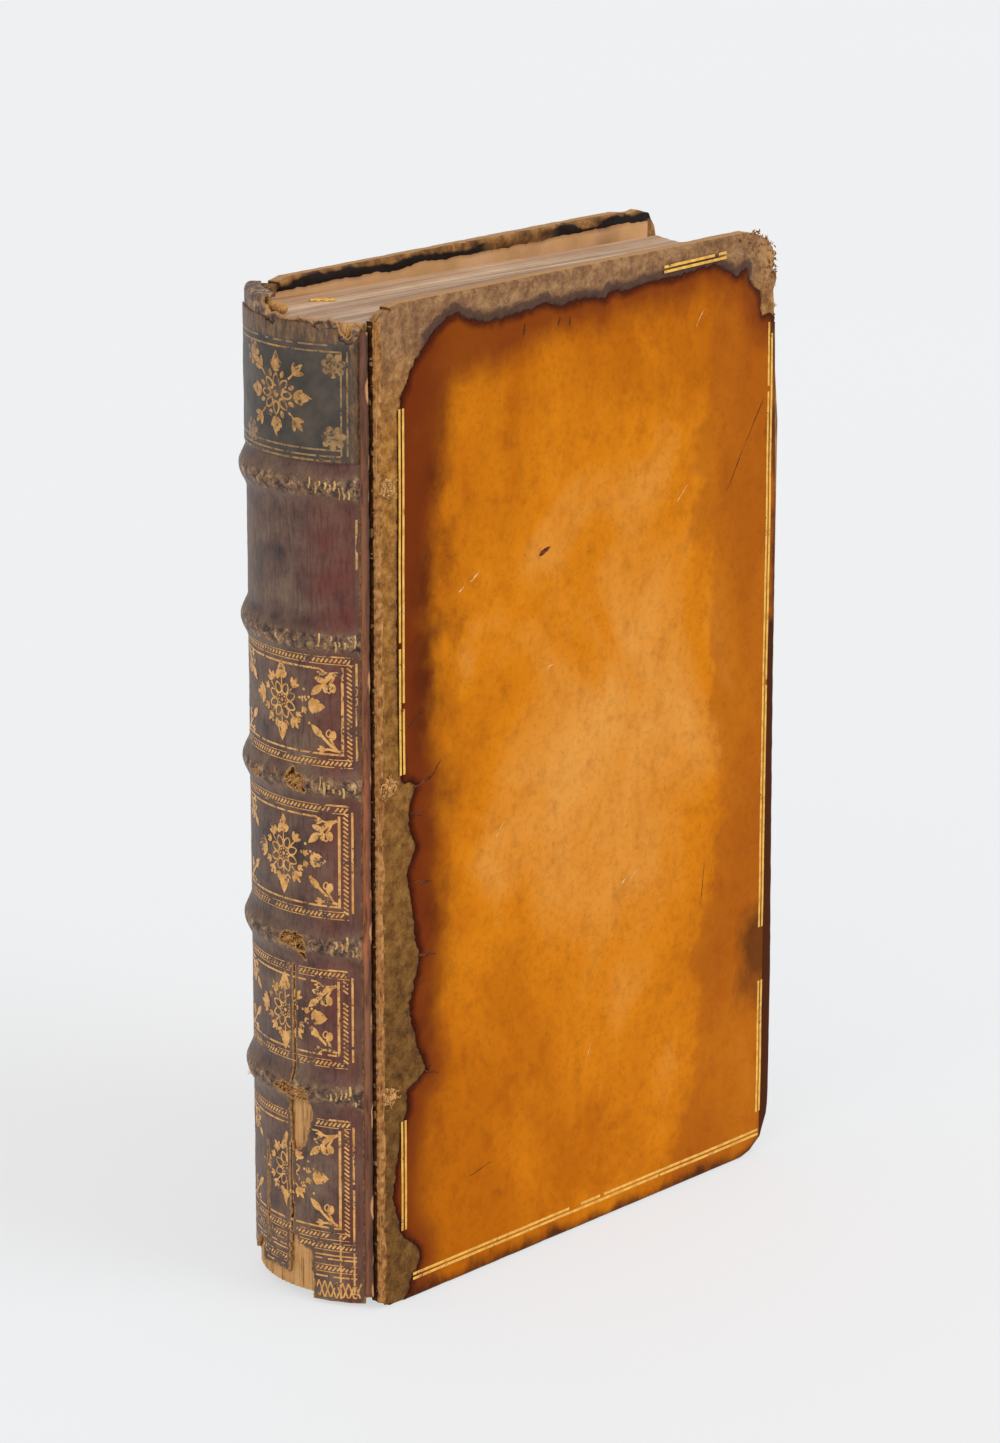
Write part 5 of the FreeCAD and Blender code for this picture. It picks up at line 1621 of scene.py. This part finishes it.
# Scuffs on the front board: dark bruises, pale scratches and small cracks that run in from the tear.
scuffLook = {"dark": [((40.9, 191.2), (40.5, 188.6), 0.55), ((50.9, 190.9), (50.6, 189.0), 0.5),
                      ((53.9, 190.6), (53.8, 188.4), 0.5), ((45.2, 144.6), (48.6, 145.9), 1.1),
                      ((113.8, 165.0), (107.5, 155.6), 0.32), ((107.5, 155.6), (101.9, 146.9), 0.25),
                      ((9.6, 105.3), (15.4, 106.8), 1.0), ((14.6, 106.4), (17.4, 109.6), 0.35),
                      ((8.2, 100.6), (12.0, 99.0), 0.4), ((9.4, 86.4), (14.8, 85.2), 0.8),
                      ((10.6, 71.2), (15.6, 70.2), 0.9), ((9.6, 64.4), (12.6, 66.0), 0.6),
                      ((12.4, 46.8), (16.6, 45.2), 0.5), ((7.8, 117.4), (12.8, 121.0), 0.5),
                      ((24.0, 21.0), (33.0, 22.4), 0.2), ((96.0, 60.0), (97.2, 71.0), 0.18)],
             "pale": [((25.4, 142.8), (28.2, 144.9), 0.5), ((70.8, 71.0), (73.0, 72.8), 0.5),
                      ((74.0, 71.6), (75.6, 73.6), 0.25), ((22.0, 141.2), (24.0, 142.6), 0.25),
                      ((60.3, 36.0), (62.0, 40.0), 0.2), ((86.5, 148.0), (90.5, 151.5), 0.22),
                      ((33.0, 90.0), (35.4, 93.0), 0.2), ((47.5, 121.0), (50.0, 122.2), 0.22),
                      ((92.0, 183.0), (95.0, 187.0), 0.25)]}


def makeScuffMaterial(name, dark, light):
    return makeFibrous(name, 0.7, 0.15, {"Scale": 1000 / 0.8, "Detail": 4.0, "Roughness": 0.7},
                       [(0.4, dark), (0.6, light)], 0.5, 0.0001)


def makeScuffs():
    bm = bmesh.new()
    for kind, index in (("dark", 0), ("pale", 1)):
        for start, end, width in scuffLook[kind]:
            before = set(bm.faces)
            length = math.hypot(end[0] - start[0], end[1] - start[1])
            turn = math.degrees(math.atan2(end[1] - start[1], end[0] - start[0]))
            leafStamp(bm, start, length, width, turn)
            for face in set(bm.faces) - before:
                face.material_index = index
    cutAcross(bm, [step + 0.3 for step in range(2, 120, 2)], (1, 0, 0))
    for v in bm.verts:
        x, z = v.co.x, v.co.y
        x += 0.25 * waver(x * 0.9, z * 0.9, 1)
        z += 0.35 * waver(x * 0.9, z * 0.9, 6)
        y = -covers["outer"] - covers["raised"] - 0.03 + boardWarp(x, z, frontLook["seed"])
        v.co = Vector((book["boardX"] + x, y, z))
    bmesh.ops.recalc_face_normals(bm, faces=bm.faces)
    bmesh.ops.reverse_faces(bm, faces=[f for f in bm.faces if f.normal.y > 0])
    finishPiece(bm, "board_scuffs", [makeScuffMaterial("bruisedCalf", "#3a1a0c", "#6f3711"),
                                     makeScuffMaterial("scratchedCalf", "#c98a45", "#ecc48c")],
                "front_cover")


makeScuffs()


def makeGoldFleck():
    rng = random.Random(3)
    bm = bmesh.new()
    for k in range(60):
        t = rng.uniform(-0.5, 0.5)
        d = rng.uniform(-1.0, 1.0) * (1 - abs(t))
        x, y = -44.6 + 3.0 * t + d, 6.7 - 3.2 * t + d
        made = bmesh.ops.create_icosphere(bm, subdivisions=1, radius=rng.uniform(0.22, 0.5))["verts"]
        bmesh.ops.scale(bm, vec=(1, 1, 0.5), verts=made)
        bmesh.ops.translate(bm, vec=(x, y, leaves["head"] + 0.05), verts=made)
    finishPiece(bm, "gold_fleck", [ruleGold], "text_block")


makeGoldFleck()
print("papers, fibres and scuffs made")
plainNodes = {"front_board": pasteboard, "rear_board": pasteboard, "rear_cord_slip_1": turnedIn,
              "rear_cord_slip_3": turnedIn, "rear_cord_slip_5": turnedIn}
for node, material in plainNodes.items():
    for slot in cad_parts[node].material_slots:
        slot.material = material
print("boards and papers finished")
